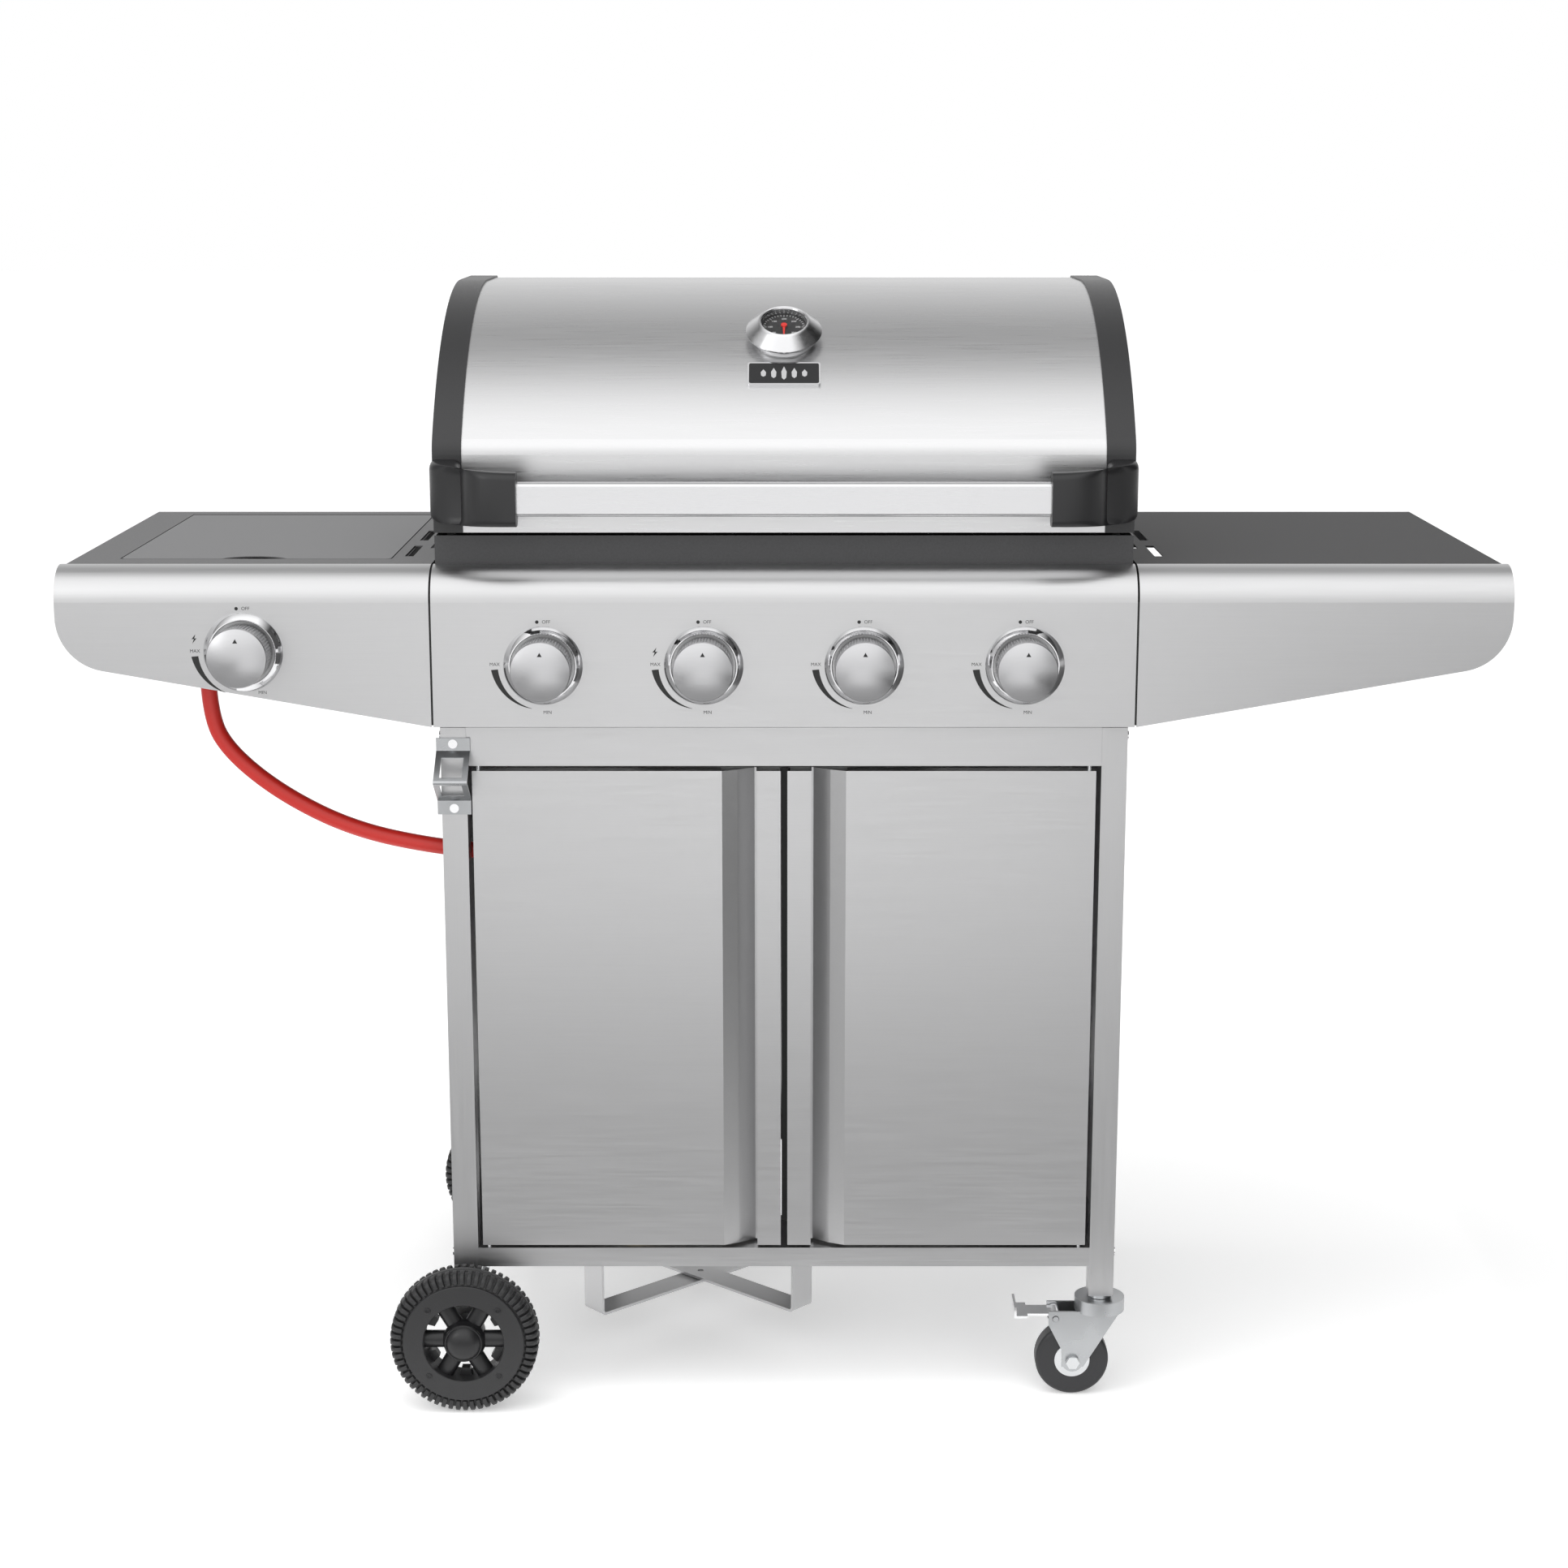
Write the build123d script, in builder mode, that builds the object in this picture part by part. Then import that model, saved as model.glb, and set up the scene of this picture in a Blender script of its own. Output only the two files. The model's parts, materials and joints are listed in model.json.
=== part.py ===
from build123d import *
import os
from math import cos, radians, sin

# Four-burner gas grill on a cart. Millimetres, +X to the cook's right, +Y to the back, +Z up.
# The origin is on the ground under the middle of the grill's outline.

# ---- driving dimensions
overall_width = 1400
work_height = 860
hood_rise = 258
hood_top = work_height + hood_rise
front_reach = 42  # the knobs, ahead of the panel face
rear_reach = 503  # the rear wheel's cap, behind the panel face
panel_y = (front_reach - rear_reach) / 2
sheet = 1.2
gap = 0.5  # between pieces that lie side by side
run = 0.05  # radial clearance of a turning fit

leg = 25
leg_wall = 1.5
cart_half = 336
cart_depth = 425
leg_y0 = panel_y + 25
leg_y1 = leg_y0 + cart_depth
leg_top = 700
leg_x = cart_half - leg / 2
leg_in = cart_half - leg
rail_low = 661.6
shelf_z = 160.5
shelf_flange = 20
bottle_x = -91.5
bottle_y = panel_y + 235
bottle_r = 148
strap_z = 44

box_half = 337.5
box_y0 = panel_y + 33
box_y1 = panel_y + 425
box_top = work_height + 27.5
box_floor = 702

panel_half = 339
panel_low = 705.5
bullnose = 33
shelf_in = 341
shelf_end = overall_width / 2 - 6
shelf_back = panel_y + 448
well_x = (-650.5, -384)
well_y = (panel_y + 68.5, panel_y + 424)

hood_half = 337
hood_rim = 28
hood_low = work_height + 31
hood_y0 = panel_y + 28
hood_y1 = panel_y + 430
hood_arc = 335
hood_arc_y = panel_y + 303.5
hood_wall = 1.5
rim_proud = 2
hinge_y = hood_y1 + 12
hinge_z = hood_low + 6
hinge_pin_r = 4
ear_r = 8

knob_r = 29
knob_xs = (-232, -77.3, 77.3, 232)
knob_z = 766
side_knob = (-520, 779)
bezel_r = 38.2
stem_r = 4
push = 5

wheel_r = 75
wheel_width = 35.6
axle_r = 6
caster_r = 37.5
caster_trail = 27.7
caster_top = 108
fork_pin_r = 4

os.makedirs("parts", exist_ok=True)


def keep(part, name):
    """Name a finished piece and write it."""
    part.label = name
    export_step(part, "parts/" + name + ".step")


def block(x, y, z, mode=Mode.ADD):
    """A box between two x, two y and two z values, added to the open part."""
    with Locations(((x[0] + x[1]) / 2, (y[0] + y[1]) / 2, (z[0] + z[1]) / 2)):
        Box(x[1] - x[0], y[1] - y[0], z[1] - z[0], mode=mode)


def tube(x, y, z, wall, along):
    """A square tube between the given values, open at both ends."""
    block(x, y, z)
    inner = [(low + wall, high - wall) for low, high in (x, y, z)]
    inner[along] = (x, y, z)[along]
    block(*inner, Mode.SUBTRACT)


def rod(start, direction, radius, length, mode=Mode.ADD):
    """A cylinder from a point along a direction."""
    with Locations(Plane(start, z_dir=direction)):
        Cylinder(radius, length, align=(Align.CENTER, Align.CENTER, Align.MIN), mode=mode)


def strip(plane, points, thickness, bend):
    """The section of a sheet that follows the points, bent round at each corner."""
    with BuildSketch(plane) as section:
        with BuildLine():
            FilletPolyline(*points, radius=bend)
        trace(line_width=thickness)
    return section.sketch


def mirrored(low, high, side):
    """A span of x on the right for side 1, or its mirror on the left for side -1."""
    return (low, high) if side == 1 else (-high, -low)


# ---- the cart: four legs, rails, bottom shelf and panels
front_leg_y = leg_y0 + leg / 2
rear_leg_y = leg_y1 - leg / 2
axle_z = wheel_r
leg_low = axle_z - 25
screw_r = 2.5
screw_z = (152, 690)
opener_screw_z = (620, 684.5)

for name, y in (("front_legs", front_leg_y), ("rear_legs", rear_leg_y)):
    with BuildPart() as legs:
        for side, low in ((-1, leg_low), (1, caster_top)):
            x = mirrored(leg_in, cart_half, side)
            tube(x, (y - leg / 2, y + leg / 2), (low, leg_top), leg_wall, 2)
            for z in screw_z:
                start = (side * (cart_half + 1), y, z)
                rod(start, (-side, 0, 0), screw_r + gap / 2, leg / 2, Mode.SUBTRACT)
        rod((-leg_x, y - leg, axle_z), (0, 1, 0), axle_r + gap / 2, 2 * leg, Mode.SUBTRACT)
        if y == front_leg_y:
            for z in opener_screw_z:
                rod((-leg_x, leg_y0 - 1, z), (0, 1, 0), screw_r + gap / 2, leg / 2, Mode.SUBTRACT)
    keep(legs.part, name)

with BuildPart() as cart_rails:
    for y, high in ((leg_y0 + 1, leg_top), (leg_y1 - 21, rail_low + 10)):
        tube((-leg_in, leg_in), (y, y + 20), (rail_low, high), leg_wall, 0)
    for side in (-1, 1):
        x = mirrored(leg_in, cart_half, side)
        tube(x, (leg_y0 + leg, leg_y1 - leg), (rail_low, leg_top), leg_wall, 1)
keep(cart_rails.part, "cart_rails")

side_x = cart_half - 13  # inner face of the side panels
shelf_low = shelf_z - shelf_flange
with BuildPart() as bottom_shelf:
    block((-leg_in, leg_in), (leg_y0, leg_y1), (shelf_low, shelf_z))
    between = (leg_y0 + leg, leg_y1 - leg)
    block((-side_x, side_x), between, (shelf_low, shelf_z))
    under = (leg_y0 + sheet, leg_y1 - sheet)
    block((-leg_in + sheet, leg_in - sheet), under, (0, shelf_z - sheet), Mode.SUBTRACT)
    under = (between[0] + sheet, between[1] - sheet)
    block((-side_x + sheet, side_x - sheet), under, (0, shelf_z - sheet), Mode.SUBTRACT)
    rod((bottle_x, bottle_y, 0), (0, 0, 1), bottle_r, 200, Mode.SUBTRACT)
    for x in (-12, 12):
        block((x - 4, x + 4), (leg_y0 + 45, leg_y0 + 65), (0, 200), Mode.SUBTRACT)
keep(bottom_shelf.part, "bottom_shelf")

hose_x = -569
hose_y = panel_y + 68
hose_port = ((hose_y - 14, hose_y + 34), (535, 600))
with BuildPart() as side_panels:
    for side in (-1, 1):
        x = mirrored(side_x, side_x + sheet, side)
        block(x, (leg_y0 + leg, leg_y1 - leg), (shelf_low, rail_low))
    block((-cart_half, -leg_in), *hose_port, Mode.SUBTRACT)
keep(side_panels.part, "side_panels")

with BuildPart() as back_panel:
    block((-leg_in, leg_in), (leg_y1 - 12, leg_y1 - 12 + sheet), (shelf_z, rail_low))
    for x in (-180, -90, 90, 180):
        for row in range(6):
            low = 200 + row * 14
            block((x - 35, x + 35), (leg_y1 - 20, leg_y1), (low, low + 5), Mode.SUBTRACT)
keep(back_panel.part, "back_panel")

strap_width = 30
strap_half = 148
strap_drop = shelf_z - sheet
strap_angle = 42
with BuildPart() as bottle_straps:
    for turn, lift in ((strap_angle, 0), (-strap_angle, 3 + gap)):
        along = (cos(radians(turn)), sin(radians(turn)), 0)
        base = Plane((bottle_x, bottle_y, 0), x_dir=along, z_dir=(0, 0, 1))
        low = strap_z + 1.5 + lift
        high = strap_drop - 1.5
        line = [(-strap_half - 16, high), (-strap_half, high), (-strap_half, low)]
        line += [(-x, z) for x, z in reversed(line)]
        plane = Plane(base.origin - base.y_dir * (strap_width / 2), x_dir=base.x_dir, z_dir=base.y_dir)
        extrude(strip(plane, [(x, -z) for x, z in line], 3, 4), amount=strap_width)
    rod((bottle_x, bottle_y, 0), (0, 0, 1), 3.2, 100, Mode.SUBTRACT)
keep(bottle_straps.part, "bottle_straps")

# A crown-cap opener bent from strip: flat tabs on the leg, a ridge ahead of it, a window.
opener_low = 613.5
opener_high = 690
opener_width = 33
opener_sheet = 2
with BuildPart() as bottle_opener:
    y = leg_y0 - opener_sheet / 2
    line = [(y, opener_low), (y, 628), (y - 34, 652), (y, 677), (y, opener_high)]
    extrude(strip(Plane.YZ.offset(-leg_x - opener_width / 2), line, opener_sheet, 1.5), amount=opener_width)
    block((-leg_x - 11, -leg_x + 11), (y - 40, y - 6), (634, 649), Mode.SUBTRACT)
    block((-leg_x - 11, -leg_x + 11), (y - 40, y - 7), (656, 672), Mode.SUBTRACT)
    for z in opener_screw_z:
        rod((-leg_x, leg_y0 - 9, z), (0, 1, 0), screw_r + gap / 2, 12, Mode.SUBTRACT)
keep(bottle_opener.part, "bottle_opener")

# ---- the firebox and what cooks in it
fire_wall = 1.5
fire_in = box_half - fire_wall
ledge_z = 868
burner_z = knob_z
burner_r = 12.5
tray_half = 150
tray_y = (panel_y + 150, leg_y1 - 2)
tray_z = (rail_low + 13, leg_top - 2)
drain_y = (panel_y + 190, panel_y + 270)
with BuildPart() as firebox:
    block((-box_half, box_half), (box_y0, box_y1), (leg_top, box_top))
    inside = (box_y0 + fire_wall, box_y1 - fire_wall)
    block((-fire_in, fire_in), inside, (leg_top + fire_wall, box_top + 1), Mode.SUBTRACT)
    for y in (box_y0 + fire_wall, box_y1 - fire_wall - 14):
        block((-fire_in, fire_in), (y, y + 14), (ledge_z - 2, ledge_z))
    block((-tray_half + 12, tray_half - 12), drain_y, (0, box_floor + 5), Mode.SUBTRACT)
    for side in (-1, 1):
        x = mirrored(tray_half + gap, tray_half + gap + fire_wall, side)
        block(x, tray_y, (tray_z[0] - gap - fire_wall, leg_top))
        x = mirrored(tray_half - 10, tray_half + gap, side)
        block(x, tray_y, (tray_z[0] - gap - fire_wall, tray_z[0] - gap))
    for x in knob_xs:
        rod((x, box_y0 - 5, burner_z), (0, 1, 0), burner_r + gap, 20, Mode.SUBTRACT)
    for side in (-1, 1):
        x = mirrored(300, 303, side)
        block(x, (box_y1, hinge_y + ear_r), (box_top - 60, box_top))
        block(x, (hinge_y - ear_r, hinge_y + ear_r), (box_top - 60, hinge_z + ear_r))
        rod((x[0] - 1, hinge_y, hinge_z), (1, 0, 0), hinge_pin_r + gap, 5, Mode.SUBTRACT)
keep(firebox.part, "firebox")

with BuildPart() as hood_hinge_pins:
    for side in (-1, 1):
        x = mirrored(297, 331, side)
        rod((x[0], hinge_y, hinge_z), (1, 0, 0), hinge_pin_r, x[1] - x[0])
        x = mirrored(294, 297, side)
        rod((x[0], hinge_y, hinge_z), (1, 0, 0), hinge_pin_r + 3, x[1] - x[0])
keep(hood_hinge_pins.part, "hood_hinge_pins")

burner_back = box_y1 - fire_wall - 8
with BuildPart() as burner_tubes:
    for x in knob_xs:
        length = burner_back - box_y0 + 8
        rod((x, box_y0 - 8, burner_z), (0, 1, 0), burner_r, length)
        rod((x, box_y0 - 9, burner_z), (0, 1, 0), burner_r - 1.5, length - 1, Mode.SUBTRACT)
keep(burner_tubes.part, "burner_tubes")

tamer_z = burner_z + 42
with BuildPart() as flame_tamers:
    for x in knob_xs:
        y = box_y0 + fire_wall + gap
        line = [(x - 55, tamer_z - 12), (x, tamer_z + 20), (x + 55, tamer_z - 12)]
        plane = Plane((0, y, 0), x_dir=(1, 0, 0), z_dir=(0, -1, 0))
        extrude(strip(plane, line, fire_wall, 6), amount=-(box_y1 - box_y0 - 2 * (fire_wall + gap)))
keep(flame_tamers.part, "flame_tamers")

grate_gap = 4
grate_bar = 8
grate_pitch = 22
grate_top = ledge_z + 12
grate_y = (box_y0 + fire_wall + 3, box_y1 - fire_wall - 3)
with BuildPart() as cooking_grates:
    for side in (-1, 1):
        x = mirrored(grate_gap / 2, fire_in - 3, side)
        block(x, grate_y, (ledge_z, grate_top))
        bars = int((x[1] - x[0] - grate_bar) / grate_pitch)
        pitch = (x[1] - x[0] - grate_bar) / bars
        for i in range(bars):
            low = x[0] + grate_bar + i * pitch
            slot_y = (grate_y[0] + 10, grate_y[1] - 10)
            block((low, low + pitch - grate_bar), slot_y, (0, grate_top + 1), Mode.SUBTRACT)
keep(cooking_grates.part, "cooking_grates")

rack_z = 985
rack_y = (panel_y + 300, panel_y + 410)
rack_bar = 3
rack_wire = 2
with BuildPart() as warming_rack:
    middle = (rack_y[0] + rack_y[1]) / 2
    for y in (rack_y[0], middle, rack_y[1]):
        rod((-300, y, rack_z), (1, 0, 0), rack_bar, 600)
    for i in range(29):
        x = -280 + i * 20
        rod((x, rack_y[0] - 4, rack_z + rack_bar + 1), (0, 1, 0), rack_wire, rack_y[1] - rack_y[0] + 8)
    for x in (-297, 297):
        for y in rack_y:
            rod((x, y, grate_top), (0, 0, 1), rack_bar - 0.5, rack_z - grate_top)
keep(warming_rack.part, "warming_rack")

# ---- the gas train: manifold, valves, burners' feed
manifold_y = panel_y + 22
manifold_r = 7
feed_z = side_knob[1]
feed_r = 5
nozzle_z = 750
with BuildPart() as gas_manifold:
    rod((-300, manifold_y, knob_z - 24), (1, 0, 0), manifold_r, 600)
    rod((-292, manifold_y, knob_z - 24), (0, 0, 1), feed_r - 0.8, feed_z - knob_z + 24)
    rod((side_knob[0] + 12.5, manifold_y, feed_z), (1, 0, 0), feed_r, 228 - 12.5)
    rod((hose_x - feed_r, manifold_y, feed_z), (1, 0, 0), feed_r, side_knob[0] - 12.5 - hose_x + feed_r)
    rod((hose_x, manifold_y, feed_z), (0, 1, 0), feed_r - 0.8, hose_y - manifold_y)
    rod((hose_x, hose_y, nozzle_z), (0, 0, 1), 6, feed_z + feed_r - nozzle_z)
keep(gas_manifold.part, "gas_manifold")

knobs = [("knob_" + str(i + 1), x, knob_z) for i, x in enumerate(knob_xs)]
knobs.append(("knob_side", *side_knob))
valve_y = (panel_y + 10, panel_y + 24)
with BuildPart() as gas_valves:
    for name, x, z in knobs:
        block((x - 12, x + 12), valve_y, (z - 14, z + 14))
        rod((x, valve_y[0] - 5, z), (0, 1, 0), stem_r + run, 15, Mode.SUBTRACT)
    for name, x, z in knobs[:4]:
        rod((-301, manifold_y, knob_z - 24), (1, 0, 0), manifold_r + gap, 602, Mode.SUBTRACT)
keep(gas_valves.part, "gas_valves")

hole_r = stem_r + 2
stem_y = (panel_y - 24, valve_y[0] + 9)
for name, x, z in knobs:
    with BuildPart() as stem:
        rod((x, stem_y[0], z), (0, 1, 0), stem_r, stem_y[1] - stem_y[0])
        block((x - 5, x + 5), (stem_y[0] - 1, panel_y - 1), (z + stem_r - 1, z + 9), Mode.SUBTRACT)
    keep(stem.part, name.replace("knob", "valve_stem"))

knob_dome = 2
knob_y = (panel_y - front_reach + knob_dome, panel_y - 7)
socket_y = (stem_y[0] - push - 1, knob_y[1] + 1)
for name, x, z in knobs:
    with BuildPart() as knob:
        rod((x, knob_y[0] + 3.5, z), (0, 1, 0), knob_r, knob_y[1] - knob_y[0] - 3.5)
        with Locations(Plane((x, knob_y[0] + 3.5, z), z_dir=(0, -1, 0))):
            Cone(knob_r, knob_r - 3, 3.5, align=(Align.CENTER, Align.CENTER, Align.MIN))
        with Locations(Plane((x, knob_y[0], z), z_dir=(0, -1, 0))):
            Cone(knob_r - 3, knob_r / 3, knob_dome, align=(Align.CENTER, Align.CENTER, Align.MIN))
        rod((x, socket_y[0], z), (0, 1, 0), stem_r + run, socket_y[1] - socket_y[0], Mode.SUBTRACT)
        block((x - 5, x + 5), (socket_y[0], knob_y[1]), (z + stem_r - 1 + run, z + 5))
    keep(knob.part, name)

with BuildPart() as knob_bezels:
    for name, x, z in knobs:
        with Locations(Plane((x, panel_y, z), z_dir=(0, -1, 0))):
            Cone(bezel_r, bezel_r - 3.5, 7, align=(Align.CENTER, Align.CENTER, Align.MIN))
            Cylinder(knob_r + 2, 30, mode=Mode.SUBTRACT)
keep(knob_bezels.part, "knob_bezels")

# ---- the front: control panel and side shelves
def front_solid(x_low, x_high, z_low):
    """A front between two x values, its sheet bent round the bullnose."""
    with BuildSketch(Plane.YZ.offset(x_low)) as section:
        with BuildLine():
            outer = Line((panel_y, z_low), (panel_y, work_height - bullnose))
            outer_roll = RadiusArc(outer @ 1, (panel_y + bullnose, work_height), bullnose)
            lip = Line(outer_roll @ 1, (panel_y + bullnose, work_height - sheet))
            inner_roll = RadiusArc(lip @ 1, (panel_y + sheet, work_height - bullnose), -(bullnose - sheet))
            inner = Line(inner_roll @ 1, (panel_y + sheet, z_low))
            Line(inner @ 1, outer @ 0)
        make_face()
    extrude(section.sketch, amount=x_high - x_low)


fold = 16  # depth of the folded edges
with BuildPart() as control_panel:
    front_solid(-panel_half, panel_half, panel_low)
    block((-panel_half, panel_half), (panel_y, panel_y + fold), (panel_low, panel_low + sheet))
    for side in (-1, 1):
        x = mirrored(panel_half - sheet, panel_half, side)
        block(x, (panel_y, panel_y + fold), (panel_low, work_height - bullnose))
    for x in knob_xs:
        rod((x, panel_y - 1, knob_z), (0, 1, 0), hole_r, 5, Mode.SUBTRACT)
keep(control_panel.part, "control_panel")

end_corner = 52  # the rounded lower corner of a shelf front
shelf_half = overall_width / 2
slope_end = 768  # height of the sloping lower edge at the shelf's end
across = Plane((0, panel_y - 1, 0), x_dir=(1, 0, 0), z_dir=(0, -1, 0))
for side, name in ((-1, "left"), (1, "right")):
    with BuildPart() as shelf_front:
        front_solid(shelf_in, shelf_half, 600)
        with BuildSketch(across) as outline:
            with BuildLine():
                low = (shelf_in, panel_low)
                high = (shelf_in, work_height + 1)
                Polyline(low, high, (shelf_half, high[1]), (shelf_half, slope_end), low)
            make_face()
            fillet(outline.vertices().group_by(Axis.X)[-1].sort_by(Axis.Y)[0], end_corner)
        extrude(outline.sketch, amount=-60, mode=Mode.INTERSECT)
        if side == -1:
            mirror(about=Plane.YZ, mode=Mode.REPLACE)
            rod((side_knob[0], panel_y - 1, side_knob[1]), (0, 1, 0), hole_r, 5, Mode.SUBTRACT)
    keep(shelf_front.part, "shelf_front_" + name)

slot = (8.5, 78.5)
slot_pitch = 119.5
slot_rows = ((369.5, panel_y + 125.5, 3), (351.5, panel_y + 185, 2))
shelf_y0 = panel_y + bullnose + gap
skirt = 40  # the folded edge at the sides and back
through = (0, work_height + 1)
for side, name in ((-1, "left"), (1, "right")):
    with BuildPart() as shelf_top:
        x = mirrored(shelf_in, shelf_end, side)
        block(x, (shelf_y0, shelf_back), (work_height - skirt, work_height))
        under = ((x[0] + sheet, x[1] - sheet), (shelf_y0 + sheet, shelf_back - sheet))
        block(*under, (0, work_height - sheet), Mode.SUBTRACT)
        for slot_x, slot_y, count in slot_rows:
            for i in range(count):
                y = slot_y + i * slot_pitch
                span = (side * slot_x - slot[0] / 2, side * slot_x + slot[0] / 2)
                block(span, (y - slot[1] / 2, y + slot[1] / 2), through, Mode.SUBTRACT)
        if side == -1:
            block(well_x, well_y, through, Mode.SUBTRACT)
    keep(shelf_top.part, "shelf_top_" + name)

# ---- the side burner in the left shelf, under its own lid
lid_gap = 1.3
lid_x = (well_x[0] + lid_gap, well_x[1] - lid_gap)
lid_y = (well_y[0] + lid_gap, well_y[1] - lid_gap)
lid_deep = 10
lid_pin = (lid_y[1] - lid_deep / 2, work_height - lid_deep / 2)
lid_pin_r = 2
pan_low = 790
pan_flange = 12
pan_top = work_height - sheet - gap
well_mid = ((well_x[0] + well_x[1]) / 2, (well_y[0] + well_y[1]) / 2)
with BuildPart() as side_burner:
    outer_x = (well_x[0] - pan_flange, well_x[1] + pan_flange)
    outer_y = (well_y[0] - pan_flange, well_y[1] + pan_flange)
    block(outer_x, outer_y, (pan_top - sheet, pan_top))
    block(well_x, well_y, (pan_low, pan_top - sheet))
    inner_x = (well_x[0] + sheet, well_x[1] - sheet)
    inner_y = (well_y[0] + sheet, well_y[1] - sheet)
    block(inner_x, inner_y, (pan_low + sheet, pan_top + 1), Mode.SUBTRACT)
    rod((well_x[0] - 4, *lid_pin), (1, 0, 0), lid_pin_r, well_x[1] - well_x[0] + 8)
    rod((*well_mid, pan_low), (0, 0, 1), 22, 22)
    rod((*well_mid, pan_low + 22), (0, 0, 1), 42, 14)
keep(side_burner.part, "side_burner")

pot_z = pan_low + 48
pot_bar = 8
with BuildPart() as pot_support:
    pot_x = (well_x[0] + pot_bar, well_x[1] - pot_bar)
    pot_y = (well_y[0] + 20, well_y[1] - 20)
    block(pot_x, pot_y, (pot_z - pot_bar, pot_z))
    inner_x = (pot_x[0] + pot_bar, pot_x[1] - pot_bar)
    inner_y = (pot_y[0] + pot_bar, pot_y[1] - pot_bar)
    block(inner_x, inner_y, (0, pot_z + 1), Mode.SUBTRACT)
    for i in range(5):
        x = well_mid[0] + (i - 2) * 40 - pot_bar / 2
        block((x, x + pot_bar), pot_y, (pot_z - pot_bar, pot_z))
    for x in (pot_x[0], pot_x[1] - pot_bar):
        for y in (pot_y[0], pot_y[1] - pot_bar):
            block((x, x + pot_bar), (y, y + pot_bar), (pan_low + sheet, pot_z))
keep(pot_support.part, "pot_support")

notch_x = -519
notch_r = 38
notch_depth = 17
with BuildPart() as side_burner_lid:
    block(lid_x, (lid_y[0], lid_pin[0]), (work_height - lid_deep, work_height))
    front_corners = side_burner_lid.edges().filter_by(Axis.Z).group_by(Axis.Y)[0]
    fillet(front_corners, 5)
    under_x = (lid_x[0] + sheet, lid_x[1] - sheet)
    under_y = (lid_y[0] + sheet, lid_y[1] - lid_deep)
    block(under_x, under_y, (0, work_height - sheet), Mode.SUBTRACT)
    rod((lid_x[0], *lid_pin), (1, 0, 0), lid_deep / 2, lid_x[1] - lid_x[0])
    rod((lid_x[0] - 1, *lid_pin), (1, 0, 0), lid_pin_r + run, lid_x[1] - lid_x[0] + 2, Mode.SUBTRACT)
    rod((notch_x, lid_y[0] + notch_depth - notch_r, 0), (0, 0, 1), notch_r, work_height + 1, Mode.SUBTRACT)
keep(side_burner_lid.part, "side_burner_lid")

# ---- the hood: a bent sheet between two cast end caps, hinged along its back
arc_centre_z = hood_top - hood_arc
hood_back_r = 22
hood_lip_r = 25


def hood_section(plane, grow):
    """The hood's side outline, moved outwards by grow."""
    y0 = hood_y0 - grow
    y1 = hood_y1 + grow
    r = hood_arc + grow
    top = hood_top + grow
    lip_z = arc_centre_z + (r * r - (hood_arc_y - y0) ** 2) ** 0.5
    with BuildSketch(plane) as section:
        with BuildLine():
            Line((y0, hood_low), (y0, lip_z))
            RadiusArc((y0, lip_z), (hood_arc_y, top), r)
            Polyline((hood_arc_y, top), (y1, top), (y1, hood_low), (y0, hood_low))
        make_face()
        corners = section.vertices()
        fillet(corners.filter_by(lambda v: v.X > y1 - 1 and v.Y > top - 1), hood_back_r + grow)
        corners = section.vertices()
        fillet(corners.filter_by(lambda v: v.X < y0 + 1 and v.Y > lip_z - 1), hood_lip_r + grow)
    return section.sketch


dial_angle = 58.7  # where the thermometer sits on the hood's arc, above the horizontal
badge_angle = 49.3
dial_r = 37.5
probe_r = 4


def on_arc(angle):
    """A plane tangent to the hood's arc, facing outwards, its y axis up the slope."""
    lean = (-cos(radians(angle)), sin(radians(angle)))
    origin = (0, hood_arc_y + hood_arc * lean[0], arc_centre_z + hood_arc * lean[1])
    return Plane(origin, x_dir=(1, 0, 0), z_dir=(0, *lean))


hood_axis = Plane((-200, hood_arc_y, arc_centre_z), z_dir=(1, 0, 0))
steel_half = hood_half - hood_rim
with BuildPart() as hood_shell:
    extrude(hood_section(Plane.YZ.offset(-steel_half), 0), amount=2 * steel_half)
    extrude(hood_section(Plane.YZ.offset(-steel_half), -hood_wall), amount=2 * steel_half, mode=Mode.SUBTRACT)
    inside = (hood_y0 + hood_wall, hood_y1 - hood_wall)
    block((-hood_half, hood_half), inside, (0, hood_low + 20), Mode.SUBTRACT)
    dial = on_arc(dial_angle)
    rod(dial.origin - dial.z_dir * 10, dial.z_dir, probe_r + gap, 20, Mode.SUBTRACT)
keep(hood_shell.part, "hood_shell")

cap_wall = 3
with BuildPart() as hood_end_caps:
    for side in (-1, 1):
        x = mirrored(steel_half, hood_half, side)
        extrude(hood_section(Plane.YZ.offset(x[0]), rim_proud), amount=hood_rim)
        inside = mirrored(steel_half - 1, hood_half - cap_wall, side)
        width = inside[1] - inside[0]
        extrude(hood_section(Plane.YZ.offset(inside[0]), -hood_wall), amount=width, mode=Mode.SUBTRACT)
        open_y = (hood_y0 + hood_wall, hood_y1 - hood_wall)
        block(inside, open_y, (0, hood_low + 20), Mode.SUBTRACT)
        ear = mirrored(313, 330, side)
        block(ear, (hood_y1, hinge_y + ear_r), (hood_low, hinge_z + ear_r))
        rod((ear[0] - 1, hinge_y, hinge_z), (1, 0, 0), hinge_pin_r + run, 30, Mode.SUBTRACT)
keep(hood_end_caps.part, "hood_end_caps")

bar_x = 262
bar_y = (panel_y - 30, panel_y - 14)
bar_z = (hood_low + 22, hood_low + 54)
with BuildPart() as handle_bar:
    block((-bar_x, bar_x), bar_y, bar_z)
    fillet(handle_bar.edges().filter_by(Axis.X), 4)
keep(handle_bar.part, "handle_bar")

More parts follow.
